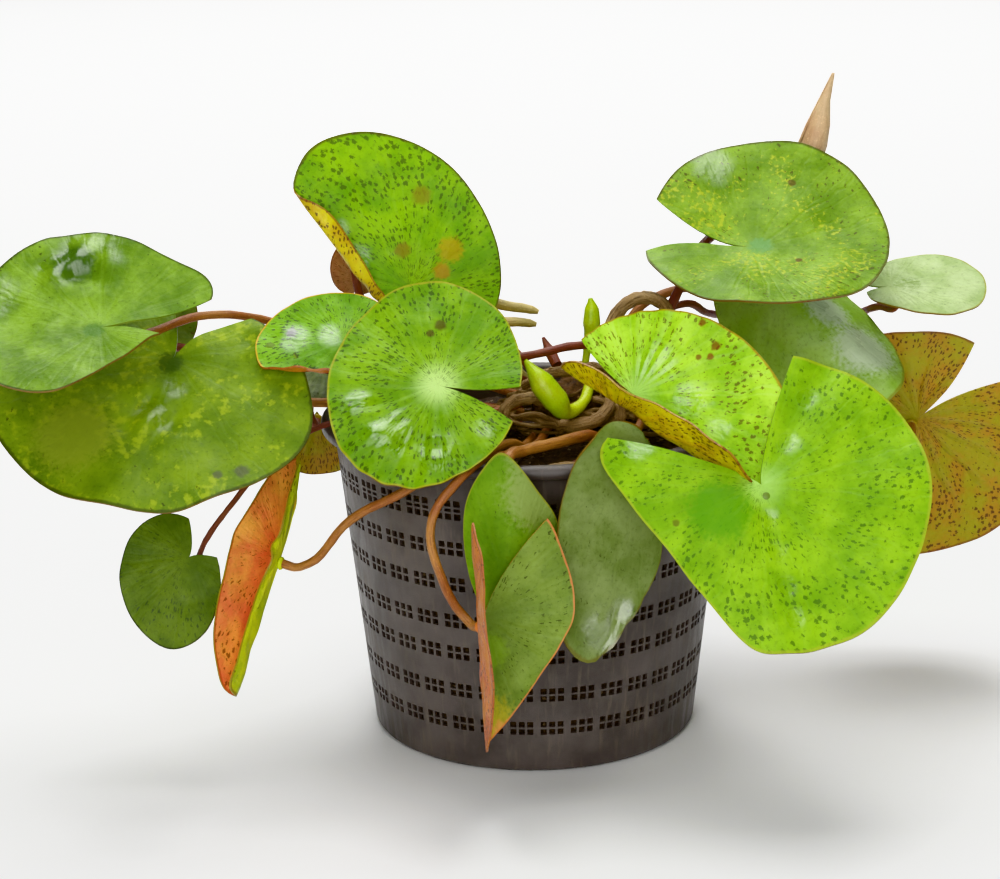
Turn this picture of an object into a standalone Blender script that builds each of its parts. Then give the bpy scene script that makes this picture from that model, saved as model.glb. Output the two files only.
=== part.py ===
"""Dwarf water lily growing in a round mesh basket, built as separate solids.

Axes: +X to the right, +Y to the back, +Z up. The origin is the middle of the basket's flat
underside. Every size in this script is in millimetres and becomes metres when a mesh is made.
"""

from collections import namedtuple
from math import cos, pi, radians, sin, sqrt

import bmesh
import bpy
from mathutils import Matrix, Vector

# Basket
RIM_RADIUS = 95.0
BASKET_HEIGHT = 145.0
BASE_RADIUS = 74.0
BASE_CORNER = 5.0
LIP_HEIGHT = 6.0
LIP_OVERHANG = 6.0
WALL = 1.6
BASKET_STEPS = 42

# Soil
SOIL_TOP = 132.0
SOIL_EDGE = 129.0
SOIL_GAP = 0.4

# Pads
PAD_THICKNESS = 0.9
PAD_SPOKES = 14
LARGE_PAD_SPOKES = 20
LARGE_PAD = 100.0
FLAT_PAD_RINGS = (0.55, 1.0)
BENT_PAD_RINGS = (0.2, 0.6, 1.0)
SEAT_INSET = 4.0

# Stalks, roots and young growth
STALK_APPROACH = 10.0
CLEARANCE = 0.6

MM = 0.001

# Colours and roughness of the materials
LOOKS = {
    "basket_plastic": ((0.055, 0.048, 0.045), 0.45),
    "soil": ((0.035, 0.025, 0.018), 0.95),
    "rhizome": ((0.12, 0.075, 0.035), 0.8),
    "pad_green": ((0.16, 0.33, 0.04), 0.35),
    "pad_bright": ((0.25, 0.42, 0.03), 0.35),
    "pad_grey": ((0.14, 0.2, 0.08), 0.45),
    "pad_under": ((0.42, 0.33, 0.04), 0.5),
    "young_leaf": ((0.3, 0.4, 0.02), 0.35),
    "rolled_leaf": ((0.45, 0.3, 0.16), 0.5),
    "stalk_red": ((0.23, 0.055, 0.022), 0.4),
    "stalk_brown": ((0.3, 0.13, 0.04), 0.45),
    "root": ((0.28, 0.19, 0.09), 0.8),
}

Pad = namedtuple(
    "Pad",
    "name look seat azimuth elevation tip length width back lean notch trims bends waves",
    defaults=((), (), ()),
)

# One row for each pad: where its stalk meets it, which way its face looks (azimuth round from
# the front, elevation up), which way its tip points on that face, its length and width, the
# share of the length behind the stalk, how far the middle of its oval is to one side, its notch
# (turn from straight back, half angle), straight trims of the oval (direction from the tip,
# distance), bends (direction from the tip, start, turn, spread) and edge waves (count, height,
# phase).
PADS = (
    Pad("pad_left_upper", "pad_green", (-180, -75, 202), 0, 74, 182, 104, 102, 0.45, 0, (0, 18),
        trims=((139, 25), (-122, 45)), bends=((-92, -10, 28, 24),)),
    Pad("pad_left_large", "pad_green", (-153, -53, 184), 2, 50, 245, 116, 142, 0.31, 0, (0, 32),
        trims=((53, 75),)),
    Pad("pad_left_small", "pad_bright", (-80, -49, 190), 0, 50, 190, 64, 52, 0.4, 0, (0, 10),
        bends=((78, 14, 60, 6),)),
    Pad("pad_front_centre", "pad_bright", (-40, -79, 177), 0, 40, 165, 80, 96, 0.43, 0, (0, 12)),
    Pad("pad_top_left", "pad_bright", (-53, -8, 203), 5, 20, 126, 113, 78, 0.3, -10, (0, 12),
        trims=((52, 57),), bends=((90, 12, 150, 8),)),
    Pad("pad_left_curled", "pad_under", (-78, 14, 204), 180, 0, 90, 30, 28, 0.3, 0, (0, 12),
        bends=((90, 0, -40, 8), (270, 0, -40, 8))),
    Pad("pad_right_upper", "pad_green", (102, 20, 217), 0, 74, 342, 110, 112, 0.46, 0, (0, 16),
        bends=((108, -8, 30, 24),)),
    Pad("pad_right_middle", "pad_green", (118, 38, 187), 0, 40, 310, 106, 80, 0.35, 0, (0, 12),
        bends=((90, 2, -38, 8), (270, 2, -45, 8))),
    Pad("pad_right_front", "pad_bright", (91, -117, 143), 0, 40, 296, 127, 152, 0.46, -8, (0, 42),
        trims=((278, 47),), bends=((270, 8, -20, 40),)),
    Pad("pad_folded", "pad_bright", (42, -72, 170), -16, 25, 330, 98, 90, 0.33, 0, (0, 12),
        bends=((270, 2, 114, 10),)),
    Pad("pad_right_back", "pad_under", (185, 58, 123), 170, 15, 317, 124, 124, 0.4, -9, (0, 15)),
    Pad("pad_right_small", "pad_green", (165, 30, 193), 0, 71, 5, 56, 52, 0.2, 0, (0, 12)),
    Pad("pad_left_low", "pad_green", (-151, -50, 94), 0, 25, 275, 60, 44, 0.34, -9, (-50, 46)),
    Pad("pad_left_hanging", "pad_under", (-110, -60, 98), 250, 5, 308, 112, 60, 0.42, 0, (0, 12),
        bends=((270, 0, 155, 8),)),
    Pad("pad_left_rim", "pad_under", (-99, 27, 139), 180, 0, 270, 32, 40, 0.05, 0, (0, 146),
        bends=((90, 0, -40, 12), (270, 0, -40, 12))),
    Pad("pad_left_shaded", "pad_grey", (-92, 5, 168), 0, 60, 250, 48, 44, 0.4, 0, (0, 12)),
    Pad("pad_left_behind", "pad_under", (-172, -9, 184), 180, 10, 90, 70, 60, 0.3, 0, (0, 12)),
    Pad("pad_front_folded", "pad_green", (-22, -117, 88), 0, 8, 265, 100, 76, 0.48, 0, (0, 28),
        trims=((60, 33),), bends=((278, -2, 98, 8),)),
    Pad("pad_front_inner", "pad_bright", (-13, -109, 103), 0, 2, 92, 80, 43, 0.3, -4, (0, 8),
        trims=((55, 33), (-55, 33)), bends=((90, 1, -30, 12), (270, 1, -30, 12))),
    Pad("pad_front_grey", "pad_grey", (46, -86, 153), 25, 5, 260, 104, 50, 0.08, -12, (-40, 10),
        trims=((62, 38),)),
)


Stalk = namedtuple("Stalk", "name look radius pad route")

# One row for each stalk: the pad that it carries and its route from the rhizome, as points
# chosen along its length. The last stretch to the underside of the pad is added from the pad.
STALKS = (
    Stalk("stalk_left_upper", "stalk_brown", 2.3, "pad_left_upper",
          ((-2, 4, 150), (-50, -4, 168), (-105, -8, 187), (-140, -32, 198), (-166, -58, 195))),
    Stalk("stalk_left_large", "stalk_brown", 2.5, "pad_left_large",
          ((-4, 0, 144), (-50, -16, 154), (-100, -30, 158), (-135, -40, 165))),
    Stalk("stalk_left_small", "stalk_red", 2.3, "pad_left_small",
          ((46, 14, 160), (38, 2, 173), (23, -5, 176), (-2, -20, 175), (-44, -36, 174))),
    Stalk("stalk_front_centre", "stalk_brown", 2.3, "pad_front_centre",
          ((-6, -8, 150), (-22, -30, 150), (-28, -50, 152), (-32, -66, 160))),
    Stalk("stalk_top_left", "stalk_brown", 2.3, "pad_top_left",
          ((4, 13, 156), (-12, 15, 174), (-35, 12, 190))),
    Stalk("stalk_left_curled", "stalk_red", 1.8, "pad_left_curled",
          ((0, 14, 154), (-30, 18, 168), (-60, 12, 182), (-74, 4, 194))),
    Stalk("stalk_right_upper", "stalk_brown", 2.5, "pad_right_upper",
          ((40, 18, 158), (43, 26, 172), (50, 32, 184), (64, 35, 191), (86, 32, 196))),
    Stalk("stalk_right_middle", "stalk_brown", 2.3, "pad_right_middle",
          ((52, 14, 146), (74, 48, 150), (98, 68, 158), (113, 62, 170))),
    Stalk("stalk_right_front", "stalk_brown", 2.5, "pad_right_front",
          ((54, -10, 141), (62, -40, 148), (69, -64, 149.5), (80, -89, 141))),
    Stalk("stalk_folded", "stalk_red", 2.3, "pad_folded",
          ((40, -12, 157), (47, -33, 161), (49, -50, 164))),
    Stalk("stalk_right_back", "stalk_brown", 2.5, "pad_right_back",
          ((60, 0, 141), (90, 9, 149), (122, 22, 130), (164, 36, 122))),
    Stalk("stalk_right_small", "stalk_red", 2.1, "pad_right_small",
          ((50, 20, 160), (57, 32, 178), (70, 36, 185), (84, 53, 177), (97, 78, 170),
          (122, 91, 164), (150, 78, 168), (163, 48, 180))),
    Stalk("stalk_left_low", "stalk_red", 2.1, "pad_left_low",
          ((-5, -6, 140), (-50, -26, 148), (-88, -40, 151), (-114, -43, 136), (-132, -44, 116),
          (-144, -45, 100))),
    Stalk("stalk_left_hanging", "stalk_brown", 2.3, "pad_left_hanging",
          ((2, -12, 137), (-8, -44, 138), (-24, -74, 144), (-35, -90, 148.5), (-50, -93, 138),
          (-78, -79, 119))),
    Stalk("stalk_left_rim", "stalk_red", 1.7, "pad_left_rim",
          ((-4, 12, 142), (-45, 14, 147), (-84, 13, 152), (-99, 9, 149))),
    Stalk("stalk_left_shaded", "stalk_brown", 2.0, "pad_left_shaded",
          ((0, 20, 148), (-40, 24, 154), (-75, 20, 157))),
    Stalk("stalk_left_behind", "stalk_red", 2.3, "pad_left_behind",
          ((-5, 2, 138), (-60, -10, 160), (-110, -20, 174), (-150, -19, 180))),
    Stalk("stalk_front_folded", "stalk_brown", 2.4, "pad_front_folded",
          ((8, -10, 140), (-1, -45, 140), (-11, -70, 149), (-21, -91, 149), (-34, -103, 140),
          (-43, -106, 126), (-40, -110, 105))),
    Stalk("stalk_front_inner", "stalk_brown", 2.8, "pad_front_inner",
          ((34, -14, 138), (29, -32, 140), (24, -48, 146), (10, -66, 148), (-5, -82, 149),
          (-11, -93, 149.5), (-12, -100, 142), (-12, -100, 125))),
    Stalk("stalk_front_grey", "stalk_brown", 2.3, "pad_front_grey",
          ((45, -13, 146), (48, -35, 150), (45, -58, 152))),
)

Tapered = namedtuple("Tapered", "name look route")

# Rolled young leaves, buds and roots: points along the length, each with its half thickness.
TAPERED = (
    Tapered("rolled_leaf_tall", "rolled_leaf",
            ((134, 73, 245, 3.6), (134, 72, 254, 7.4), (138, 72, 267, 5.2), (140, 72, 277, 2.2),
             (145, 72, 286, 0.5))),
    Tapered("stalk_rolled_tall", "stalk_red",
            ((52, 8, 159, 2.2), (59, 14, 178, 2.2), (67, 19, 194, 2.2), (78, 34, 211, 2.2),
             (98, 58, 220, 2.2), (124, 74, 232, 2.2), (134, 73, 243.5, 2.2))),
    Tapered("young_leaf_front", "young_leaf",
            ((26, -13, 161, 2.2), (22, -27, 155, 2.4), (14, -37, 154, 3.6), (10, -41, 160, 5.6),
             (4, -42, 168, 5.4), (-3, -40, 178, 0.8))),
    Tapered("bud_small", "young_leaf",
            ((24, 2, 162, 1.8), (25, 4, 172, 2.0), (25, 5, 180, 3.2), (25.5, 5, 187, 4.1),
             (26, 5, 194, 0.8))),
    Tapered("rolled_leaf_back_upper", "rolled_leaf",
            ((0, 24, 152, 1.8), (-16, 30, 168, 1.8), (-30, 31, 180, 2.0), (-22, 29, 188, 2.6),
             (-8, 27, 187, 2.9), (5, 24, 184.5, 1.2))),
    Tapered("rolled_leaf_back_lower", "rolled_leaf",
            ((-4, 17, 150, 1.8), (-15, 22, 163, 1.8), (-24, 23, 173, 2.0), (-18, 22, 180, 2.4),
             (-8, 22, 181, 2.4), (2, 23, 178.5, 1.0))),
    Tapered("sheath_tip", "stalk_red",
            ((12, 12, 163, 2.4), (9, 17, 168, 2.8), (6, 20, 174, 0.8))),
    Tapered("root_loop_left", "root",
            ((-18, -44, 136, 2.2), (-14, -45, 149, 2.6), (-11, -42, 158, 2.6), (-3, -37, 160, 2.6),
             (6, -28, 156, 2.4), (10, -14, 150, 2.2))),
    Tapered("root_loop_front", "root",
            ((12, -20, 140, 2.4), (14, -28, 145, 2.8), (21, -34, 147, 3.0), (31, -30, 150, 3.0),
             (35, -23, 156, 2.8), (33, -14, 159, 2.2))),
    Tapered("root_front_rim", "root",
            ((-4, -80, 137, 2.0), (5, -82, 140, 2.6), (24, -80, 141, 2.8), (36, -68, 137, 2.0))),
    Tapered("root_red", "stalk_red",
            ((34, -54, 139, 1.8), (28, -60, 140, 2.0), (17, -71, 139.5, 1.8), (8, -77, 137, 1.4))),
    Tapered("root_top_front", "root",
            ((-4, -6, 158, 2.0), (8, -9, 164, 2.6), (20, -10, 166, 2.6), (29, -9, 167, 2.0))),
    Tapered("root_top_back", "root",
            ((8, 17, 157, 2.0), (16, 18, 160, 2.6), (30, 16, 160, 2.6), (44, 14, 155, 2.0))),
    Tapered("root_upright", "root",
            ((37, -34, 164, 2.0), (38, -40, 156, 2.3), (38, -44, 146, 2.3), (36, -46, 134, 2.0))),
    Tapered("root_arch", "root",
            ((34, 5, 165, 2.6), (35, 8, 178, 2.8), (42, 10, 190, 3.0), (54, 9, 194, 3.0),
             (62, 5, 188, 2.8), (61, -2, 168, 2.4))),
)

RHIZOME = ((4, 10, 141, 8.0), (18, 7, 146, 13.0), (36, 3, 147, 13.0), (52, 0, 141, 8.5))


def bend_point(point, direction, start, turn, spread):
    """Roll one point of the flat pad upward past a straight line on the pad."""
    along = Vector((cos(radians(direction)), sin(radians(direction)), 0))
    across = Vector((-along.y, along.x, 0))
    reach = point.dot(along) - start
    side = point.dot(across)
    height = point.z
    if reach <= 0:
        return point
    radius = spread / radians(turn)
    rolled = min(reach, spread)
    angle = rolled / radius
    rest = reach - rolled
    new_reach = (radius - height) * sin(angle) + rest * cos(angle)
    new_height = radius - (radius - height) * cos(angle) + rest * sin(angle)
    return along * (start + new_reach) + across * side + Vector((0, 0, new_height))


def outline_radius(pad, angle):
    """Distance from the stalk to the pad's oval edge in one direction on the pad."""
    half_length = pad.length / 2
    half_width = pad.width / 2
    centre = half_length - pad.back * pad.length
    a = (cos(angle) / half_length) ** 2 + (sin(angle) / half_width) ** 2
    b = -2 * (centre * cos(angle) / half_length ** 2 + pad.lean * sin(angle) / half_width ** 2)
    c = (centre / half_length) ** 2 + (pad.lean / half_width) ** 2 - 1
    radius = (-b + sqrt(b * b - 4 * a * c)) / (2 * a)
    for direction, distance in pad.trims:
        reach = cos(angle - radians(direction))
        if reach > 0:
            radius = min(radius, distance / reach)
    return radius


def pad_point(pad, angle, share, height):
    """One point of the pad's skin before it is placed: flat outline, then waves, then bends."""
    radius = outline_radius(pad, angle) * share
    lift = sum(
        size * share ** 2 * sin(count * angle + radians(phase))
        for count, size, phase in pad.waves
    )
    point = Vector((radius * cos(angle), radius * sin(angle), height + lift))
    for direction, start, turn, spread in pad.bends:
        point = bend_point(point, direction, start, turn, spread)
    return point


def pad_frame(pad):
    """Matrix that takes a pad lying flat round its stalk to its place on the plant."""
    az = radians(pad.azimuth)
    el = radians(pad.elevation)
    face = Vector((sin(az) * cos(el), -cos(az) * cos(el), sin(el)))
    level = Vector((cos(az), sin(az), 0))
    rise = face.cross(level)
    tip = level * cos(radians(pad.tip)) + rise * sin(radians(pad.tip))
    side = face.cross(tip)
    turned = Matrix((tip, side, face)).transposed().to_4x4()
    return Matrix.Translation(Vector(pad.seat) * MM) @ turned


def material(name):
    """The named material, made the first time that it is asked for."""
    if name in bpy.data.materials:
        return bpy.data.materials[name]
    colour, roughness = LOOKS[name]
    made = bpy.data.materials.new(name)
    made.use_nodes = True
    shader = made.node_tree.nodes["Principled BSDF"]
    shader.inputs["Base Color"].default_value = (*colour, 1)
    shader.inputs["Roughness"].default_value = roughness
    made.diffuse_color = (*colour, 1)
    return made


def add_object(name, data, look):
    """Put new object data in the scene under a name, with its material."""
    made = bpy.data.objects.new(name, data)
    bpy.context.collection.objects.link(made)
    data.materials.append(material(look))
    return made


def build_pad(pad):
    """A pad as one closed skin: top and underside on the same spokes, joined round the edge."""
    half = PAD_THICKNESS / 2
    turn, notch = (radians(value) for value in pad.notch)
    spokes = LARGE_PAD_SPOKES if pad.length > LARGE_PAD else PAD_SPOKES
    shares = BENT_PAD_RINGS if pad.bends or pad.waves else FLAT_PAD_RINGS
    start = turn + notch - pi
    angles = [start + 2 * (pi - notch) * step / spokes for step in range(spokes + 1)]
    shell = bmesh.new()
    sides = []
    for height in (half, -half):
        seat = shell.verts.new(pad_point(pad, 0.0, 0.0, height) * MM)
        rings = [
            [shell.verts.new(pad_point(pad, angle, share, height) * MM) for angle in angles]
            for share in shares
        ]
        sides.append((seat, rings))
    for (seat, rings), flip in zip(sides, (False, True)):
        faces = [[seat, a, b] for a, b in zip(rings[0], rings[0][1:])]
        for inner, outer in zip(rings, rings[1:]):
            for k in range(spokes):
                faces.append([inner[k], outer[k], outer[k + 1], inner[k + 1]])
        for face in faces:
            shell.faces.new(reversed(face) if flip else face)
    edges = []
    for seat, rings in sides:
        first = [ring[0] for ring in rings]
        last = [ring[-1] for ring in rings]
        edges.append([seat, *first, *rings[-1][1:-1], *reversed(last)])
    top, under = edges
    for k in range(len(top)):
        follow = (k + 1) % len(top)
        shell.faces.new([top[k], under[k], under[follow], top[follow]])
    bmesh.ops.recalc_face_normals(shell, faces=shell.faces)
    mesh = bpy.data.meshes.new(pad.name)
    shell.to_mesh(mesh)
    shell.free()
    made = add_object(pad.name, mesh, pad.look)
    made.matrix_world = pad_frame(pad)
    return made


def tube(name, look, route, sides=1, steps=2):
    """A round, tapered, capped tube through points that each carry a half thickness."""
    data = bpy.data.curves.new(name, "CURVE")
    data.dimensions = "3D"
    data.bevel_depth = MM
    data.bevel_resolution = sides
    data.resolution_u = steps
    data.use_fill_caps = True
    line = data.splines.new("BEZIER")
    line.bezier_points.add(len(route) - 1)
    for point, (x, y, z, radius) in zip(line.bezier_points, route):
        point.co = Vector((x, y, z)) * MM
        point.radius = radius
        point.handle_left_type = "AUTO"
        point.handle_right_type = "AUTO"
    return add_object(name, data, look)


def build_stalk(stalk, pads):
    """A stalk from the rhizome, with its last stretch square to the underside of its pad."""
    pad = pads[stalk.pad]
    frame = pad_frame(pad)
    share = SEAT_INSET / outline_radius(pad, 0.0)
    ends = []
    for drop in (STALK_APPROACH, CLEARANCE):
        below = pad_point(pad, 0.0, share, -PAD_THICKNESS / 2 - drop)
        place = frame @ (below * MM) / MM
        ends.append(tuple(place))
    route = [(*point, stalk.radius) for point in (*stalk.route, *ends)]
    return tube(stalk.name, stalk.look, route)


def turned(name, look, profile, steps):
    """A solid turned from a closed profile of radius and height round the vertical axis."""
    shell = bmesh.new()
    line = [shell.verts.new(Vector((r, 0, z)) * MM) for r, z in profile]
    edges = [shell.edges.new(pair) for pair in zip(line, line[1:])]
    bmesh.ops.spin(
        shell, geom=line + edges, axis=(0, 0, 1), cent=(0, 0, 0), steps=steps, angle=2 * pi,
        use_merge=True,
    )
    bmesh.ops.remove_doubles(shell, verts=shell.verts, dist=1e-6)
    bmesh.ops.recalc_face_normals(shell, faces=shell.faces)
    mesh = bpy.data.meshes.new(name)
    shell.to_mesh(mesh)
    shell.free()
    return add_object(name, mesh, look)


def build_basket():
    """The open basket: straight tapered wall, rounded foot and a rolled lip."""
    wall_top = BASKET_HEIGHT - LIP_HEIGHT
    neck = RIM_RADIUS - LIP_OVERHANG
    profile = (
        (0, 0),
        (BASE_RADIUS - BASE_CORNER, 0),
        (BASE_RADIUS - BASE_CORNER * 0.3, BASE_CORNER * 0.3),
        (BASE_RADIUS, BASE_CORNER),
        (neck, wall_top),
        (RIM_RADIUS - 0.8, wall_top + 0.6),
        (RIM_RADIUS, wall_top + LIP_HEIGHT * 0.5),
        (RIM_RADIUS - 1.6, BASKET_HEIGHT - 0.6),
        (neck + 1.0, BASKET_HEIGHT),
        (neck - WALL, BASKET_HEIGHT - 2.0),
        (inner_radius(wall_top), wall_top),
        (inner_radius(BASE_CORNER), BASE_CORNER),
        (BASE_RADIUS - BASE_CORNER - WALL, WALL),
        (0, WALL),
    )
    return turned("basket", "basket_plastic", profile, BASKET_STEPS)


def inner_radius(height):
    """Inside radius of the basket's wall at a height."""
    slope = (RIM_RADIUS - LIP_OVERHANG - BASE_RADIUS) / (BASKET_HEIGHT - LIP_HEIGHT - BASE_CORNER)
    return BASE_RADIUS - WALL + slope * (height - BASE_CORNER)


def build_soil():
    """The soil that fills the basket, slightly heaped in the middle."""
    low = WALL + SOIL_GAP
    profile = (
        (0, low),
        (BASE_RADIUS - BASE_CORNER - WALL - SOIL_GAP - 1, low),
        (inner_radius(BASE_CORNER) - SOIL_GAP - 1, BASE_CORNER + 1),
        (inner_radius(SOIL_EDGE) - SOIL_GAP - 0.2, SOIL_EDGE),
        (inner_radius(SOIL_EDGE) * 0.6, SOIL_TOP - 0.6),
        (0, SOIL_TOP),
    )
    return turned("soil", "soil", profile, BASKET_STEPS)


def main():
    for old in list(bpy.data.objects):
        bpy.data.objects.remove(old)
    build_basket()
    build_soil()
    tube("rhizome", "rhizome", RHIZOME, sides=3, steps=3)
    for pad in PADS:
        build_pad(pad)
    pads = {pad.name: pad for pad in PADS}
    for stalk in STALKS:
        build_stalk(stalk, pads)
    for piece in TAPERED:
        tube(piece.name, piece.look, piece.route)


main()
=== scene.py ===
# %% [markdown]
# # A dwarf water lily in a mesh basket
#
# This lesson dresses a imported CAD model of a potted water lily. The CAD solids say where every
# pad, stalk and root is. Here each of them gets its real surface: thin veined blades, fibrous
# roots, crumbly soil and a basket with open slots. Shapes are worked out in millimetres and
# turned into Blender's metres when a mesh is made.

# %% Load the frame
from collections import namedtuple
from math import cos, pi, radians, sin

import bpy
import numpy as np
from mathutils import Matrix, Vector, noise


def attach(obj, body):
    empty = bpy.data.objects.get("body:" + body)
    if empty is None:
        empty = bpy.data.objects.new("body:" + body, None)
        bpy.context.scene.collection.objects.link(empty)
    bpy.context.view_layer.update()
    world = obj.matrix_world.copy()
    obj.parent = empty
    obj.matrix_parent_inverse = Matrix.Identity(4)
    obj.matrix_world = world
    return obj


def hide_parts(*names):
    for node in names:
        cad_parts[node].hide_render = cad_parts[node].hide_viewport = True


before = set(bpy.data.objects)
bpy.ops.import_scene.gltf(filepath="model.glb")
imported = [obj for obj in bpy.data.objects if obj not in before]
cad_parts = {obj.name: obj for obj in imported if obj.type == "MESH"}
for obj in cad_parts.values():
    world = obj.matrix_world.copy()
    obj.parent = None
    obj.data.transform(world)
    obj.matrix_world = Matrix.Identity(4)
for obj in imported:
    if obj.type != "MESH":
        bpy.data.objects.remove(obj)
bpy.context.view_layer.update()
MM = 0.001

# %% [markdown]
# ## Camera
#
# The photograph is taken from a little above the rim of the basket. The lens is long, so the
# pads hardly shrink with distance. The camera looks along +Y, dips by 15.4 degrees and is
# rolled by less than one degree, which is the way that the CAD model was matched.

# %% Camera
PHOTO_WIDTH = 1000
FOCAL_PIXELS = 2400
SENSOR = 36
DIP = radians(15.4)
ROLL = radians(-0.83)
AIM = Vector((-14.4, 0, 131.5)) * MM
AWAY = 1.087

look = Vector((0, cos(DIP), -sin(DIP)))
level = Vector((1, 0, 0))
upright = level.cross(look)
right = level * cos(ROLL) + upright * sin(ROLL)
up = upright * cos(ROLL) - level * sin(ROLL)
camera_data = bpy.data.cameras.new("camera")
camera_data.sensor_width = SENSOR
camera_data.lens = SENSOR * FOCAL_PIXELS / PHOTO_WIDTH
camera = bpy.data.objects.new("camera", camera_data)
bpy.context.collection.objects.link(camera)
camera.matrix_world = Matrix.Translation(AIM - look * AWAY) @ Matrix(
    (right, up, -look)
).transposed().to_4x4()
bpy.context.scene.camera = camera
print("lens", round(camera_data.lens, 1), "mm")

# %% [markdown]
# ## Light and floor
#
# The wet pads show broad white reflections, so the light comes from a large soft box overhead
# and behind, with a weaker one in front and a bright room all round. The neutral view keeps the greens
# as they are set on the materials.

# %% Light and floor
scene = bpy.context.scene
scene.view_settings.view_transform = "Khronos PBR Neutral"
room = bpy.data.worlds.new("room")
room.use_nodes = True
ROOM_LOW, ROOM_HIGH = 1.05, 0.5
sky = room.node_tree.nodes
direction = sky.new("ShaderNodeTexCoord").outputs["Generated"]
split = sky.new("ShaderNodeSeparateXYZ")
fade = sky.new("ShaderNodeMapRange")
for name, value in {"From Min": 0.1, "From Max": 0.55, "To Min": ROOM_LOW, "To Max": ROOM_HIGH}.items():
    fade.inputs[name].default_value = value
room.node_tree.links.new(direction, split.inputs[0])
room.node_tree.links.new(split.outputs["Z"], fade.inputs["Value"])
room.node_tree.links.new(fade.outputs[0], sky["Background"].inputs["Strength"])
scene.world = room


def soft_box(name, place, target, size, watts):
    """A square lamp at a place, turned towards a target, both in metres."""
    data = bpy.data.lights.new(name, "AREA")
    data.size = size
    data.energy = watts
    lamp = bpy.data.objects.new(name, data)
    bpy.context.collection.objects.link(lamp)
    way = Vector(target) - Vector(place)
    lamp.matrix_world = (
        Matrix.Translation(place) @ way.to_track_quat("-Z", "Y").to_matrix().to_4x4()
    )
    return lamp


soft_box("lamp_top", (0.0, 0.05, 1.35), (0, 0, 0.15), 1.1, 17)
soft_box("lamp_back", (-0.1, 1.0, 1.2), (0, 0, 0.15), 0.6, 6)
soft_box("lamp_front", (-0.15, -1.6, 0.6), (0, 0, 0.12), 1.6, 30)
floor_lamp = soft_box("lamp_floor", (0, 2.8, 2.8), (0, 2.79, 0), 3.0, 90)
floor_lamp.data.spread = radians(75)


# %% [markdown]
# Every finish below is a small tree of nodes. A helper keeps the trees readable: each call adds
# one node, joins its inputs and gives back its output.

# %% Helper for finishes
def tint(red, green, blue):
    """A colour as seen on a screen, 0 to 255, as the linear colour that a shader needs."""
    parts = [value / 255 for value in (red, green, blue)]
    linear = [
        value / 12.92 if value <= 0.04045 else ((value + 0.055) / 1.055) ** 2.4
        for value in parts
    ]
    return (*linear, 1.0)


class Finish:
    """A material whose nodes are added one by one."""

    def __init__(self, name, roughness=0.5):
        self.material = bpy.data.materials.new(name)
        self.material.use_nodes = True
        self.tree = self.material.node_tree
        self.shader = self.tree.nodes["Principled BSDF"]
        self.shader.inputs["Roughness"].default_value = roughness

    def node(self, kind, inputs, output=0, **settings):
        """Add a node, set or join its inputs, and give back one of its outputs."""
        made = self.tree.nodes.new(kind)
        for name, value in settings.items():
            setattr(made, name, value)
        for name, value in inputs.items():
            self.join(made.inputs[name], value)
        return made.outputs[output]

    def join(self, socket, value):
        """Link an output to a socket, or set the socket to a plain value."""
        if isinstance(value, bpy.types.NodeSocket):
            self.tree.links.new(value, socket)
        else:
            socket.default_value = value

    def math(self, operation, first, second=0.0):
        return self.node("ShaderNodeMath", {0: first, 1: second}, operation=operation)

    def step(self, value, low, high, start=0.0, end=1.0):
        """A soft step: start below low, end above high."""
        inputs = {"Value": value, "From Min": low, "From Max": high}
        inputs.update({"To Min": start, "To Max": end})
        return self.node("ShaderNodeMapRange", inputs, interpolation_type="SMOOTHSTEP")

    def mix(self, share, first, second):
        """A blend of two colours."""
        inputs = {0: share, 6: first, 7: second}
        return self.node("ShaderNodeMix", inputs, output=2, data_type="RGBA")

    def noise(self, place, scale, detail=2.0, roughness=0.5):
        inputs = {"Vector": place, "Scale": scale, "Detail": detail, "Roughness": roughness}
        return self.node("ShaderNodeTexNoise", inputs)

    def cells(self, place, scale, output=0, **settings):
        inputs = {"Vector": place, "Scale": scale}
        return self.node("ShaderNodeTexVoronoi", inputs, output=output, **settings)

    def spread(self, place, x, y, z):
        """A place with each of its directions stretched by its own factor."""
        return self.node("ShaderNodeMapping", {"Vector": place, "Scale": (x, y, z)})

    def body_place(self):
        """Place on the object itself, in millimetres."""
        whole = self.node("ShaderNodeTexCoord", {}, output="Object")
        return self.spread(whole, 1000, 1000, 1000)

    def paint(self, colour, roughness=None, bump=None, bump_size=1.0):
        """Join the finished colour, roughness and height in millimetres to the shader."""
        self.join(self.shader.inputs["Base Color"], colour)
        if roughness is not None:
            self.join(self.shader.inputs["Roughness"], roughness)
        if bump is not None:
            inputs = {"Height": bump, "Strength": 1.0, "Distance": bump_size * MM}
            self.join(self.shader.inputs["Normal"], self.node("ShaderNodeBump", inputs))
        return self.material


def floor_finish():
    """Matt pale paper with a faint cloudiness."""
    finish = Finish("floor_paper", 0.9)
    place = finish.body_place()
    cloud = finish.noise(place, 0.01, 3)
    return finish.paint(finish.mix(cloud, (0.86, 0.86, 0.855, 1), (0.9, 0.9, 0.895, 1)))


def start_alone():
    """Leave edit mode and deselect everything, so that an operator only meets its own piece."""
    if bpy.context.object and bpy.context.object.mode != "OBJECT":
        bpy.ops.object.mode_set(mode="OBJECT")
    bpy.ops.object.select_all(action="DESELECT")


start_alone()
bpy.ops.mesh.primitive_plane_add(size=12, location=(0, 0, 0))
floor = bpy.context.object
floor.name = "floor"
floor.data.materials.append(floor_finish())


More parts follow.
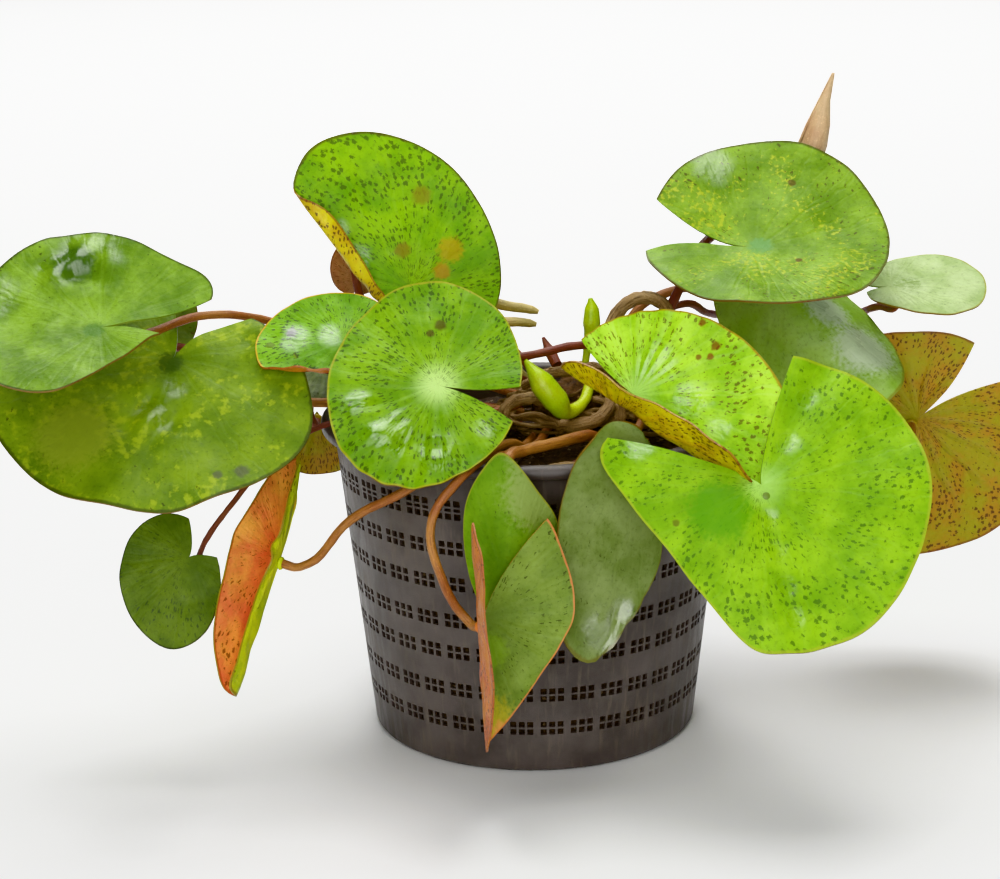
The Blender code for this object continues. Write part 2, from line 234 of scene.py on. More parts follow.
# %% [markdown]
# ## The shape of a pad
#
# A lily pad is a thin round blade with a notch that runs in to its stalk. Floating in water it
# is flat; out of the water it sags, waves and folds. The blade could be sculpted, but then the
# next pad would start from nothing. Here a plain grid is bent round the stalk instead: one side
# of the grid becomes the angle, the other the way from stalk to margin. The same few numbers as
# in the CAD model give the oval, the notch, straight stretches and folds, and further numbers
# give the waves and wrinkles that the CAD model leaves out.

# %% Pad outline and relief
PAD_THICKNESS = 0.8

Pad = namedtuple(
    "Pad",
    "name seat azimuth elevation tip length width back lean notch trims bends "
    "pulls dish waves ripples creases pucker crumples close",
    defaults=((), (), (), 0.0, (), (), (), (0.0, 0.1), (), 0.8),
)


def wrapped(angle):
    """An angle brought between minus and plus half a turn."""
    return (angle + pi) % (2 * pi) - pi


def outline_radius(pad, angle):
    """Distance from stalk to margin in each direction, with softened corners."""
    half_length = pad.length / 2
    half_width = pad.width / 2
    centre = half_length - pad.back * pad.length
    a = (np.cos(angle) / half_length) ** 2 + (np.sin(angle) / half_width) ** 2
    b = -2 * (centre * np.cos(angle) / half_length**2 + pad.lean * np.sin(angle) / half_width**2)
    c = (centre / half_length) ** 2 + (pad.lean / half_width) ** 2 - 1
    radius = (-b + np.sqrt(b * b - 4 * a * c)) / (2 * a)
    total = radius**-14.0
    for direction, distance in pad.trims:
        facing = np.maximum(np.cos(angle - radians(direction)), 0.01)
        total = total + (facing / distance) ** 14
    radius = total ** (-1 / 14)
    for direction, width, amount in pad.pulls:
        away = wrapped(angle - radians(direction))
        radius = radius + amount * np.exp(-((away / radians(width)) ** 2))
    return radius


def lumps(x, y, size, seed):
    """Smooth random heights between about -1 and 1, with lumps of one size."""
    places = np.column_stack((x / size, y / size))
    return np.array([noise.noise(Vector((u, v, seed))) for u, v in places.tolist()])


def relief(pad, x, y, angle, share, seed):
    """Height of each point of the blade over its flat plane."""
    height = pad.dish * share**2
    for count, size, phase in pad.waves:
        height = height + size * share**3 * np.sin(count * angle + radians(phase))
    for direction, spread, count, size in pad.ripples:
        away = wrapped(angle - radians(direction))
        fan = np.exp(-((away / radians(spread)) ** 2))
        wander = 0.5 * lumps(x, y, 30, seed + 3)
        height = height + size * fan * share * np.cos(count * away + wander)
    for direction, size, width in pad.creases:
        turned = radians(direction)
        side = y * cos(turned) - x * sin(turned)
        along = x * cos(turned) + y * sin(turned)
        height = height + size * np.exp(-((side / width) ** 2)) * np.clip(along / 15, 0, 1)
    for middle_x, middle_y, spread, size, width in pad.crumples:
        near = np.exp(-((x - middle_x) ** 2 + (y - middle_y) ** 2) / spread**2)
        height = height + size * near * lumps(x, y, width, seed + 5)
    size, width = pad.pucker
    if size:
        grow = np.clip(share * 3, 0, 1)
        height = height + size * grow * lumps(x, y, width, seed)
    return height


def roll_up(points, direction, start, turn, spread):
    """Roll the blade upward past a straight line on it."""
    along = np.array((cos(radians(direction)), sin(radians(direction))))
    across = np.array((-along[1], along[0]))
    reach = points[:, :2] @ along - start
    side = points[:, :2] @ across
    height = points[:, 2]
    radius = spread / radians(turn)
    rolled = np.clip(reach, 0, spread)
    angle = rolled / radius
    rest = np.maximum(reach - spread, 0)
    new_reach = start + (radius - height) * np.sin(angle) + rest * np.cos(angle)
    new_height = radius - (radius - height) * np.cos(angle) + rest * np.sin(angle)
    bent = np.column_stack((np.outer(new_reach, along) + np.outer(side, across), new_height))
    return np.where((reach > 0)[:, None], bent, points)


def pad_frame(pad):
    """Matrix that takes a flat pad to its place on the plant, millimetres to metres."""
    azimuth = radians(pad.azimuth)
    elevation = radians(pad.elevation)
    face = Vector((sin(azimuth) * cos(elevation), -cos(azimuth) * cos(elevation), sin(elevation)))
    level_way = Vector((cos(azimuth), sin(azimuth), 0))
    rise = face.cross(level_way)
    tip = level_way * cos(radians(pad.tip)) + rise * sin(radians(pad.tip))
    turned = Matrix((tip, face.cross(tip), face)).transposed().to_4x4()
    return Matrix.Translation(Vector(pad.seat) * MM) @ turned @ Matrix.Scale(MM, 4)


# %% [markdown]
# The grid keeps two maps of itself. `flat` is the place on the unrolled blade, so that veins and
# spots bend with it. `edge` holds the share of the way to the margin, which draws the thin line
# along it. The grid gets its thickness last, with the underside and the rim in a second finish.

# %% Build one blade
def keep_map(mesh, name, across, along):
    """Store two numbers for each vertex as a UV map."""
    corners = np.empty(len(mesh.loops), dtype=np.int32)
    mesh.loops.foreach_get("vertex_index", corners)
    layer = mesh.uv_layers.new(name=name)
    pairs = np.column_stack((across[corners], along[corners])).astype(np.float32)
    layer.uv.foreach_set("vector", pairs.ravel())


def build_blade(pad, top, under, seed):
    """One pad as a thin closed sheet with its two finishes."""
    large = max(pad.length, pad.width) > 75
    spokes, rings = (176, 30) if large else (120, 18)
    start_alone()
    bpy.ops.mesh.primitive_grid_add(x_subdivisions=spokes, y_subdivisions=rings, size=2)
    blade = bpy.context.object
    blade.name = "blade" + pad.name.removeprefix("pad")
    mesh = blade.data
    mesh.name = blade.name
    mesh.uv_layers.remove(mesh.uv_layers[0])
    spots = np.empty(len(mesh.vertices) * 3, dtype=np.float32)
    mesh.vertices.foreach_get("co", spots)
    spots = spots.reshape(-1, 3).astype(float)
    around = (1 - spots[:, 0]) / 2
    share = (spots[:, 1] + 1) / 2
    turn, notch = (radians(value) for value in pad.notch)
    gap = notch * np.clip(share, 0.02, 1) ** pad.close
    angle = turn + (2 * around - 1) * (pi - gap)
    uneven = 1 + 0.012 * lumps(np.cos(angle) * 30, np.sin(angle) * 30, 9, seed + 7)
    radius = outline_radius(pad, angle) * share * uneven
    x = radius * np.cos(angle)
    y = radius * np.sin(angle)
    points = np.column_stack((x, y, relief(pad, x, y, angle, share, seed)))
    for bend in pad.bends:
        points = roll_up(points, *bend)
    mesh.vertices.foreach_set("co", points.astype(np.float32).ravel())
    keep_map(mesh, "flat", x * MM / 0.2 + 0.5, y * MM / 0.2 + 0.5)
    keep_map(mesh, "edge", share, around)
    bpy.ops.object.mode_set(mode="EDIT")
    bpy.ops.mesh.select_all(action="SELECT")
    bpy.ops.mesh.remove_doubles(threshold=0.001)
    bpy.ops.object.mode_set(mode="OBJECT")
    mesh.transform(pad_frame(pad))
    mesh.materials.append(top)
    mesh.materials.append(under)
    wall = blade.modifiers.new("thickness", "SOLIDIFY")
    wall.thickness = PAD_THICKNESS * MM
    wall.offset = 0
    wall.material_offset = 1
    wall.material_offset_rim = 1
    bpy.ops.object.modifier_apply(modifier=wall.name)
    bpy.ops.object.shade_smooth_by_angle(angle=radians(70))
    return blade


def seat_joint(pad, finish):
    """The thickened place where the stalk meets the underside of the blade."""
    flat = np.array([[4.0, 0.0, -1.5]])
    for bend in pad.bends:
        flat = roll_up(flat, *bend)
    start_alone()
    bpy.ops.mesh.primitive_uv_sphere_add(segments=14, ring_count=8, radius=1)
    joint = bpy.context.object
    flattened = Matrix.Diagonal((3.0, 3.0, 1.3, 1))
    joint.data.transform(pad_frame(pad) @ Matrix.Translation(flat[0].tolist()) @ flattened)
    bpy.ops.object.shade_smooth()
    joint.data.materials.append(finish)
    return joint


# %% [markdown]
# ## The finish of a pad
#
# The upper side is waxy green with pale radial veins, a pale centre, dark flecks that are drawn
# out along the veins, yellow ageing in blotches and a thin margin. All of it is drawn from the
# `flat` map in millimetres. The flecks use a cell pattern in polar coordinates, because the real
# ones follow the veins.

# %% Upper side of a pad
Look = namedtuple(
    "Look",
    "dark light glow middle veins flecks fleck_colour blotch_colour blotches blotch_size margin "
    "marks roughness coat bloom crinkle wet",
    defaults=(
        (165, 195, 95), 0.4, 0.12, 0.45, (48, 52, 20), (165, 170, 50), 0.0, 5.0, (140, 140, 50),
        (), 0.45, 0.5, 0.0, 0.06, (),
    ),
)


def blade_places(finish):
    """Place on the flat blade in millimetres, distance from the stalk, angle and share."""
    flat = finish.node("ShaderNodeUVMap", {}, uv_map="flat")
    inputs = {"Vector": flat, "Scale": (200, 200, 1), "Location": (-100, -100, 0)}
    place = finish.node("ShaderNodeMapping", inputs)
    parts = finish.node("ShaderNodeSeparateXYZ", {0: place}, output=0)
    x, y = parts.node.outputs[0], parts.node.outputs[1]
    distance = finish.node("ShaderNodeVectorMath", {0: place}, output=1, operation="LENGTH")
    angle = finish.math("ARCTAN2", y, x)
    edge = finish.node("ShaderNodeUVMap", {}, uv_map="edge")
    share = finish.node("ShaderNodeSeparateXYZ", {0: edge}, output=0)
    return place, distance, angle, share


def vein_lines(finish, distance, angle, warp, count, width):
    """One at the middle of each radial vein, falling to nothing beside it."""
    ray = finish.math("ADD", finish.math("MULTIPLY", angle, count / (2 * pi)), warp)
    off = finish.math("PINGPONG", ray, 0.5)
    beside = finish.math("MULTIPLY", finish.math("MULTIPLY", off, 2 * pi / count), distance)
    return finish.step(beside, width * 0.2, width, 1.0, 0.0)


def fleck_mask(finish, distance, angle, share, place, amount, fine=1.0):
    """Ragged dashes along the veins, crowded in patches and towards the margin."""
    ragged = finish.math("MULTIPLY", finish.noise(place, 0.55, 2, 0.7), 1.3)
    reach = finish.math("ADD", finish.math("MULTIPLY", distance, 0.3 / fine), ragged)
    turn = finish.math("ADD", finish.math("MULTIPLY", angle, 22 / fine), ragged)
    polar = finish.node("ShaderNodeCombineXYZ", {0: reach, 1: turn})
    near = finish.cells(polar, 1.0, voronoi_dimensions="2D")
    luck = finish.node("ShaderNodeSeparateColor", {0: near.node.outputs["Color"]})
    patch = finish.step(finish.noise(place, 0.06, 3), 0.38, 0.62, -0.32, 0.3)
    crowd = finish.math("ADD", finish.math("MULTIPLY", share, 0.25), patch)
    size = finish.math("ADD", luck, finish.math("ADD", crowd, amount - 1.1))
    size = finish.math("MINIMUM", finish.math("MULTIPLY", size, 0.45), 0.36)
    gap = finish.math("SUBTRACT", size, near)
    return finish.step(gap, -0.02, 0.1)


def wet_mask(finish, place, spots):
    """One on the wet patches of a blade, each a middle and a size in millimetres."""
    mask = finish.step(finish.noise(place, 0.08, 3), 0.62, 0.8, 0.0, 0.3)
    ragged = finish.math("MULTIPLY", finish.noise(place, 0.09, 3, 0.6), 0.9)
    for x, y, size in spots:
        inputs = {0: place, 1: (x, y, 0)}
        near = finish.node("ShaderNodeVectorMath", inputs, output=1, operation="DISTANCE")
        reach = finish.math("ADD", finish.math("DIVIDE", near, size), ragged)
        mask = finish.math("MAXIMUM", mask, finish.step(reach, 0.75, 1.45, 1.0, 0.0))
    return mask


def pad_top(name, look):
    """The upper side of one pad."""
    finish = Finish(name, look.roughness)
    place, distance, angle, share = blade_places(finish)
    warp = finish.math("MULTIPLY", finish.noise(place, 0.06, 2), 0.6)
    cloud = finish.step(finish.noise(place, 0.045, 4, 0.6), 0.35, 0.65)
    colour = finish.mix(cloud, tint(*look.dark), tint(*look.light))
    fine = finish.noise(place, 0.5, 4, 0.7)
    shade = tuple(part * 0.62 for part in look.dark)
    colour = finish.mix(finish.step(fine, 0.5, 0.75, 0.0, 0.45), colour, tint(*shade))
    if look.blotches:
        field = finish.noise(place, 1 / look.blotch_size, 3, 0.55)
        region = finish.step(finish.noise(place, 0.035, 2), 0.35, 0.65, -0.1, 0.1)
        low = 0.62 - 0.12 * look.blotches
        blotch = finish.step(finish.math("ADD", field, region), low, low + 0.16, 0.0, 0.75)
        colour = finish.mix(blotch, colour, tint(*look.blotch_colour))
    main = vein_lines(finish, distance, angle, warp, 17, 1.3)
    fork = vein_lines(finish, distance, angle, finish.math("ADD", warp, 0.25), 38, 0.8)
    fork = finish.math("MULTIPLY", fork, finish.step(share, 0.3, 0.6, 0.0, 0.6))
    veins = finish.math("MAXIMUM", main, fork)
    veins = finish.math("MULTIPLY", veins, finish.step(distance, 3, 12))
    patchy = finish.math("MULTIPLY", fine, 1.6 * look.veins)
    colour = finish.mix(finish.math("MULTIPLY", veins, patchy), colour, tint(*look.glow))
    centre = finish.step(distance, 1.0, 14, look.middle, 0.0)
    colour = finish.mix(centre, colour, tint(*look.glow))
    if look.flecks:
        fleck = fleck_mask(finish, distance, angle, share, place, look.flecks)
        fleck = finish.math("MULTIPLY", fleck, 0.75)
        colour = finish.mix(fleck, colour, tint(*look.fleck_colour))
    # Painted sheen: pale whitish patches mixed into the colour stand in for the broad reflection of the
    # bright room on a wet pad.
    if look.bloom:
        sheen_patches = finish.step(finish.noise(place, 0.06, 4, 0.6), 0.4, 0.7, 0.0, look.bloom)
        colour = finish.mix(sheen_patches, colour, tint(180, 195, 160))
    # Marks are patches of one colour: most are the pad's own spots and stains, a few are painted sheen or
    # painted shade.
    for mark_x, mark_y, size, mark_colour in look.marks:
        near = finish.node(
            "ShaderNodeVectorMath", {0: place, 1: (mark_x, mark_y, 0)}, output=1,
            operation="DISTANCE",
        )
        ragged = finish.math("ADD", near, finish.math("MULTIPLY", finish.noise(place, 0.5, 3), size))
        mark = finish.step(ragged, size * 1.1, size * 1.7, 0.8, 0.0)
        colour = finish.mix(mark, colour, tint(*mark_colour))
    rim = finish.math("ADD", share, finish.math("MULTIPLY", finish.noise(place, 0.25, 2), 0.02))
    colour = finish.mix(finish.step(rim, 0.985, 1.0, 0.0, 0.75), colour, tint(*look.margin))
    fan = finish.node(
        "ShaderNodeCombineXYZ",
        {0: finish.math("MULTIPLY", distance, 0.07),
         1: finish.math("ADD", finish.math("MULTIPLY", angle, 7), finish.math("MULTIPLY", warp, 3))},
    )
    crinkle = finish.math("MULTIPLY", finish.noise(fan, 1.0, 2, 0.5), share)
    wetness = wet_mask(finish, place, look.wet)
    height = finish.math("MULTIPLY", veins, -0.1)
    height = finish.math("ADD", height, finish.math("MULTIPLY", fine, 0.18))
    folds = finish.math("MULTIPLY", crinkle, finish.math("ADD", finish.math("MULTIPLY", wetness, 5), 1))
    height = finish.math("ADD", height, finish.math("MULTIPLY", folds, look.crinkle))
    height = finish.math("ADD", height, finish.math("MULTIPLY", finish.noise(place, 0.16, 2), 0.6))
    dry = finish.step(finish.noise(place, 0.12, 3), 0.3, 0.7, look.roughness - 0.05, look.roughness + 0.1)
    shine = finish.math("MULTIPLY", finish.step(wetness, 0.0, 1.0, 1.0, 0.5), dry)
    finish.join(finish.shader.inputs["Specular IOR Level"], finish.step(wetness, 0.0, 1.0, 0.22, 0.6))
    finish.join(finish.shader.inputs["Coat Weight"], finish.math("MULTIPLY", wetness, look.coat))
    finish.shader.inputs["Coat Roughness"].default_value = 0.14
    return finish.paint(colour, shine, height)


# %% [markdown]
# The underside is duller. Its veins stand out as ribs, and in the old pads it has turned yellow,
# orange or pink with dark brown flecks. One function serves them all.

# %% Underside of a pad
def pad_under(name, first, second, rib, fleck_colour=(80, 45, 18), flecks=0.5, roughness=0.45,
              ribs=0.3):
    """The underside of one pad in two mingled colours, with raised ribs."""
    finish = Finish(name, roughness)
    place, distance, angle, share = blade_places(finish)
    cloud = finish.step(finish.noise(place, 0.06, 4, 0.6), 0.38, 0.62)
    colour = finish.mix(cloud, tint(*first), tint(*second))
    fine = finish.noise(place, 0.6, 4, 0.7)
    colour = finish.mix(finish.step(fine, 0.45, 0.75, 0.0, 0.4), colour, tint(*rib))
    warp = finish.math("MULTIPLY", finish.noise(place, 0.06, 2), 0.5)
    main = vein_lines(finish, distance, angle, warp, 17, 2.2)
    main = finish.math("MULTIPLY", main, finish.step(share, 0.5, 0.9, 1.0, 0.1))
    colour = finish.mix(finish.math("MULTIPLY", main, ribs), colour, tint(*rib))
    fleck = fleck_mask(finish, distance, angle, share, place, flecks, 0.9)
    colour = finish.mix(finish.math("MULTIPLY", fleck, 0.85), colour, tint(*fleck_colour))
    rim = finish.math("ADD", share, finish.math("MULTIPLY", finish.noise(place, 0.25, 2), 0.02))
    colour = finish.mix(finish.step(rim, 0.985, 1.0, 0.0, 0.7), colour, tint(120, 70, 35))
    height = finish.math("MULTIPLY", main, 0.5)
    height = finish.math("ADD", height, finish.math("MULTIPLY", fine, 0.3))
    height = finish.math("ADD", height, finish.math("MULTIPLY", finish.noise(place, 0.15, 2), 1.0))
    shine = finish.step(finish.noise(place, 0.1, 2), 0.3, 0.7, roughness - 0.1, roughness + 0.1)
    return finish.paint(colour, shine, height)


UNDER_GREEN = pad_under("under_green", (105, 130, 40), (85, 112, 32), (140, 150, 60), flecks=0.3)
UNDER_YELLOW = pad_under("under_yellow", (198, 190, 22), (182, 158, 20), (196, 140, 35), flecks=0.95)
UNDER_OLIVE = pad_under("under_olive", (158, 150, 26), (172, 128, 32), (135, 135, 30), flecks=0.9)
UNDER_ORANGE = pad_under("under_orange", (205, 130, 50), (200, 105, 60), (215, 150, 70), flecks=0.6)
UNDER_PINK = pad_under("under_pink", (185, 145, 110), (165, 115, 85), (190, 160, 110), flecks=0.5)
UNDER_LIME = pad_under("under_lime", (205, 215, 40), (170, 190, 35), (220, 220, 90), flecks=0.2)


# %% [markdown]
# A pad is finished by one call: it builds the blade, adds the stalk joint, lets the pair ride on
# the body and stand in for the CAD pad.

# %% Make a pad
pads = {}


def make_pad(pad, look, under):
    """Build, finish and register one pad."""
    seed = 10.0 * (len(pads) + 1)
    top = look if isinstance(look, bpy.types.Material) else pad_top("top" + pad.name[3:], look)
    blade = build_blade(pad, top, under, seed)
    joint = seat_joint(pad, under)
    start_alone()
    joint.select_set(True)
    blade.select_set(True)
    bpy.context.view_layer.objects.active = blade
    bpy.ops.object.join()
    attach(blade, "root")
    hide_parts(pad.name)
    pads[pad.name] = pad
    print(blade.name, len(blade.data.polygons), "faces")
    return blade


# %% Pads on the left
make_pad(
    Pad("pad_left_upper", (-180, -75, 202), 0, 74, 182, 104, 102, 0.45, 0, (0, 18),
        trims=((139, 25), (-122, 45)), bends=((-92, -10, 28, 24),),
        waves=((3, 1.2, 40), (5, 0.8, 10)), pucker=(2.2, 26), pulls=((-152, 14, 5),),
        crumples=((12, -32, 15, 6, 11),)),
    Look((84, 118, 26), (122, 156, 50), veins=0.06, flecks=0.15, middle=0.1, coat=0.4,
         # the dark green mark at (12, -34) is painted shade in the crumpled dents
         margin=(50, 55, 20), marks=((12, -34, 10, (52, 84, 20)), (2, 2, 5, (70, 110, 30))),
         wet=((4, -44, 20), (18, -32, 14), (45, -20, 14))),
    UNDER_GREEN,
)
make_pad(
    Pad("pad_left_large", (-153, -53, 184), 2, 50, 245, 116, 142, 0.31, 0, (0, 32),
        trims=((53, 75),), waves=((4, 2.0, 0), (7, 0.8, 50)), pucker=(3.0, 24),
        crumples=((30, 5, 20, 4, 10), (-20, 30, 12, 3, 10)), close=0.5),
    Look((84, 112, 18), (112, 138, 30), veins=0.04, flecks=0.12, blotches=0.6, blotch_size=4.2,
         blotch_colour=(142, 160, 38), roughness=0.5, margin=(50, 55, 20), middle=0.0,
         wet=((30, 5, 14), (14, 8, 8)), coat=0.15,
         marks=((52, -20, 18, (128, 142, 52)), (40, 52, 3.2, (80, 85, 60)), (46, 44, 2.4, (80, 85, 60)), (3, 0, 6, (45, 70, 15)))),
    UNDER_GREEN,
)
make_pad(
    Pad("pad_left_small", (-80, -49, 190), 0, 50, 190, 64, 52, 0.4, 0, (0, 10),
        bends=((78, 14, 60, 6),), waves=((3, 1.0, 0),), ripples=((90, 60, 16, 0.8),),
        pucker=(1.0, 9)),
    Look((82, 130, 14), (112, 160, 28), flecks=0.8, fleck_colour=(40, 45, 25), veins=0.06,
         coat=0.8, margin=(200, 150, 40), crinkle=0.25, middle=0.1, wet=((20, -5, 10), (6, -4, 8)),
         marks=((22, -8, 2.6, (110, 105, 110)), (16, 14, 2.6, (45, 50, 30)))),
    UNDER_ORANGE,
)
make_pad(
    Pad("pad_top_left", (-53, -8, 203), 5, 20, 126, 113, 78, 0.3, -10, (0, 12),
        trims=((52, 57), (95, 21)), bends=((90, 12, 150, 7),), waves=((4, 1.5, 30),),
        pulls=((-22, 22, -4), (30, 20, 2)), ripples=((0, 80, 14, 0.7),), pucker=(1.8, 22)),
    Look((92, 142, 4), (124, 168, 6), flecks=0.92, fleck_colour=(58, 78, 12), veins=0.06,
         margin=(75, 60, 20), middle=0.0, coat=0.2, wet=((26, 10, 9), (40, 8, 7)),
         marks=((16, -8, 3.6, (122, 112, 22)), (3, -25, 6.0, (158, 140, 18)),
                (-2, -16, 4.0, (165, 128, 30)), (30, -30, 4.5, (120, 120, 20)))),
    UNDER_YELLOW,
)
make_pad(
    Pad("pad_left_curled", (-78, 14, 204), 180, 0, 90, 26, 26, 0.3, 0, (0, 12),
        bends=((90, 0, -40, 8), (270, 0, -40, 8))),
    Look((120, 130, 50), (140, 150, 60)), UNDER_PINK,
)
make_pad(
    Pad("pad_left_low", (-151, -50, 94), 0, 25, 275, 60, 44, 0.34, -9, (-50, 46),
        waves=((3, 1.0, 0), (5, 0.7, 20)), pucker=(1.2, 12), pulls=((-40, 20, -1.5),), close=0.35),
    Look((72, 95, 22), (96, 118, 34), veins=0.03, flecks=0.55, fleck_colour=(52, 66, 38),
         margin=(40, 45, 20), middle=0.0, coat=0.1),
    UNDER_GREEN,
)
make_pad(
    Pad("pad_left_hanging", (-110, -60, 98), 250, 5, 308, 112, 60, 0.42, 0, (0, 12),
        trims=((90, 9),), bends=((270, 0, 155, 8),), waves=((5, 1.0, 0),), pucker=(1.0, 12)),
    Look((235, 170, 90), (222, 125, 85), glow=(235, 190, 110), veins=0.1, flecks=0.62,
         fleck_colour=(105, 50, 25), roughness=0.42, middle=0.1, margin=(170, 75, 45)),
    UNDER_LIME,
)
make_pad(
    Pad("pad_left_rim", (-99, 27, 139), 180, 0, 270, 32, 40, 0.05, 0, (0, 146),
        bends=((90, 0, -40, 12), (270, 0, -40, 12)), close=0.0),
    Look((130, 130, 40), (150, 150, 50)), UNDER_OLIVE,
)
make_pad(
    Pad("pad_left_shaded", (-92, 5, 168), 0, 60, 250, 48, 44, 0.4, 0, (0, 12)),
    Look((80, 95, 50), (110, 125, 75), coat=0.5), UNDER_GREEN,
)
make_pad(
    Pad("pad_left_behind", (-172, -9, 184), 180, 10, 90, 54, 50, 0.3, 0, (0, 12)),
    Look((100, 130, 40), (120, 145, 50)), UNDER_GREEN,
)

# %% Pads in front and at the crown
make_pad(
    Pad("pad_front_centre", (-40, -79, 177), 0, 40, 165, 80, 96, 0.43, 0, (0, 12),
        dish=-1.0, waves=((4, 1.5, 0), (6, 0.8, 60)), ripples=((70, 55, 24, 1.0),),
        pucker=(1.6, 16), crumples=((15, 30, 24, 2.5, 8),)),
    Look((88, 132, 14), (118, 158, 26), glow=(195, 225, 140), middle=0.75, flecks=0.85, veins=0.06,
         fleck_colour=(48, 66, 22), coat=0.7, margin=(150, 150, 45), crinkle=0.4,
         wet=((13, 26, 14), (-8, 30, 13), (30, 16, 9), (-24, 14, 7)),
         marks=((6, -27, 2.6, (75, 62, 30)), (9, -22, 1.8, (75, 62, 30)))),
    UNDER_GREEN,
)
make_pad(
    Pad("pad_folded", (42, -72, 170), -16, 25, 330, 106, 90, 0.31, 0, (0, 12),
        trims=((262, 26),), bends=((270, 2, 114, 10),), ripples=((90, 80, 24, 0.8),),
        waves=((5, 1.2, 0),), pucker=(1.2, 14)),
    Look((128, 175, 30), (172, 212, 65), glow=(215, 240, 170), flecks=0.78,
         fleck_colour=(85, 70, 22), coat=0.6, margin=(150, 110, 30), crinkle=0.4, veins=0.08,
         middle=0.3, wet=((0, 16, 12), (22, 12, 11), (38, 9, 8)),
         marks=((7, 41, 1.8, (110, 45, 18)), (17, 36, 2.2, (110, 45, 18)),
                (18, 31, 1.6, (120, 50, 20)), (14, 28, 1.4, (110, 50, 22)))),
    UNDER_YELLOW,
)
make_pad(
    Pad("pad_front_folded", (-22, -117, 88), 0, 8, 265, 100, 76, 0.48, 0, (0, 28),
        trims=((60, 33),), bends=((278, -2, 98, 8),), waves=((5, 1.0, 0),),
        pulls=((-16, 16, 4), (156, 16, 4)), pucker=(1.0, 12), close=0.4),
    Look((98, 120, 48), (124, 145, 66), flecks=0.5, margin=(205, 120, 75), veins=0.03, middle=0.0,
         coat=0.1,
         marks=((46, 2, 15, (178, 165, 52)), (14, 3, 8, (120, 150, 45)), (30, 1, 6, (105, 140, 40)),
                (48, 12, 6, (215, 150, 85)), (44, -7, 5, (220, 150, 95)))),
    UNDER_ORANGE,
)
make_pad(
    Pad("pad_front_inner", (-13, -109, 103), 0, 2, 92, 80, 43, 0.3, -4, (0, 8),
        trims=((55, 33), (-55, 33)), bends=((90, 1, -30, 12), (270, 1, -30, 12))),
    Look((82, 122, 10), (104, 142, 28), veins=0.05, flecks=0.25, middle=0.0, coat=0.1,
         marks=((34, -17, 17, (136, 152, 88)), (50, -12, 10, (128, 148, 80)))),
    UNDER_GREEN,
)
make_pad(
    Pad("pad_front_grey", (46, -86, 153), 25, 5, 260, 104, 50, 0.08, -12, (-40, 10),
        trims=((62, 38),), waves=((7, 1.5, 0),), pucker=(1.2, 14),
        crumples=((82, 2, 20, 5, 8),)),
    Look((98, 116, 58), (124, 140, 84), veins=0.02, flecks=0.1, coat=1.0, margin=(105, 100, 50),
         middle=0.0, crinkle=0.3, wet=((80, -9, 15), (72, -2, 9)),
         marks=((30, 20, 9, (84, 112, 34)),)),
    UNDER_GREEN,
)

# %% Pads on the right
make_pad(
    Pad("pad_right_upper", (102, 20, 213), 0, 74, 342, 110, 116, 0.46, 6, (0, 16),
        bends=((108, -8, 30, 24),), waves=((3, 1.0, 0), (5, 1.0, 60)), pucker=(2.2, 26),
        close=1.2),
    Look((92, 128, 22), (124, 158, 44), flecks=0.4, fleck_colour=(70, 62, 22), blotches=0.45,
         blotch_size=2.2, blotch_colour=(165, 175, 45), veins=0.04, middle=0.1, coat=0.5,
         margin=(70, 65, 22), wet=((-46, 58, 22), (-40, 84, 20), (-30, 40, 14)),
         marks=((7, 42, 2.0, (85, 65, 25)), (21, -4, 1.8, (90, 60, 25)), (2, 2, 6, (92, 140, 70)))),
    UNDER_GREEN,
)
make_pad(
    Pad("pad_right_middle", (118, 38, 187), 0, 40, 310, 106, 80, 0.35, 0, (0, 12),
        bends=((90, 2, -38, 8), (270, 2, -45, 8)), waves=((4, 1.0, 0),), pucker=(1.0, 16)),
    # painted sheen: the pale patches and the two near-white marks paint the whitish reflection on the right
    # half of this pad
    Look((142, 182, 70), (172, 206, 110), flecks=0.25, fleck_colour=(90, 120, 50), coat=0.8,
         veins=0.05, bloom=0.2, wet=((30, 8, 20), (10, 12, 12)),
         marks=((42, 12, 16, (205, 218, 190)), (16, 14, 12, (200, 214, 185)))),
    UNDER_GREEN,
)
make_pad(
    Pad("pad_right_front", (91, -117, 143), 0, 40, 296, 127, 152, 0.46, -8, (0, 42),
        trims=((278, 47),), bends=((270, 8, -20, 40),), waves=((3, 2.0, 0), (6, 1.0, 30)),
        creases=((-14, -3.0, 7), (125, -3.0, 8)), pucker=(2.2, 30),
        pulls=((7, 24, 6), (-24, 12, -2)), close=0.15),
    Look((104, 150, 18), (134, 176, 34), glow=(165, 205, 110), middle=0.6, flecks=0.7, veins=0.05,
         fleck_colour=(60, 95, 22), coat=0.8, margin=(150, 165, 50),
         wet=((14, -4, 7), (28, -8, 7), (42, -12, 7), (55, -15, 7), (-12, 20, 7), (-26, 36, 7),
              (-38, -36, 9), (-52, -36, 7)),
         marks=((-2, -38, 1.6, (95, 100, 30)), (2, -20, 14, (78, 138, 14)))),
    UNDER_GREEN,
)
make_pad(
    Pad("pad_right_back", (185, 58, 123), 170, 15, 317, 124, 124, 0.4, -9, (0, 15),
        waves=((3, 1.5, 0), (5, 1.0, 0)), pucker=(1.6, 22)),
    Look((105, 135, 30), (130, 155, 50)), UNDER_OLIVE,
)
make_pad(
    Pad("pad_right_small", (165, 30, 193), 0, 71, 5, 56, 52, 0.2, 0, (0, 12),
        waves=((3, 1.5, 0),), pucker=(0.8, 12)),
    Look((142, 165, 100), (172, 190, 135), veins=0.08, flecks=0.05, coat=0.3, middle=0.2,
         wet=((10, 0, 12),)),
    UNDER_GREEN,
)


# %% [markdown]
# ## Stalks
#
# Each stalk is a curve drawn through the same points as in the CAD model, with a round section
# turned into a mesh. The last stretch is worked out from the pad, so that the stalk meets the
# thickened joint on its underside squarely. A map called `skin` holds the way round and the way
# along, so that streaks can follow the stalk.

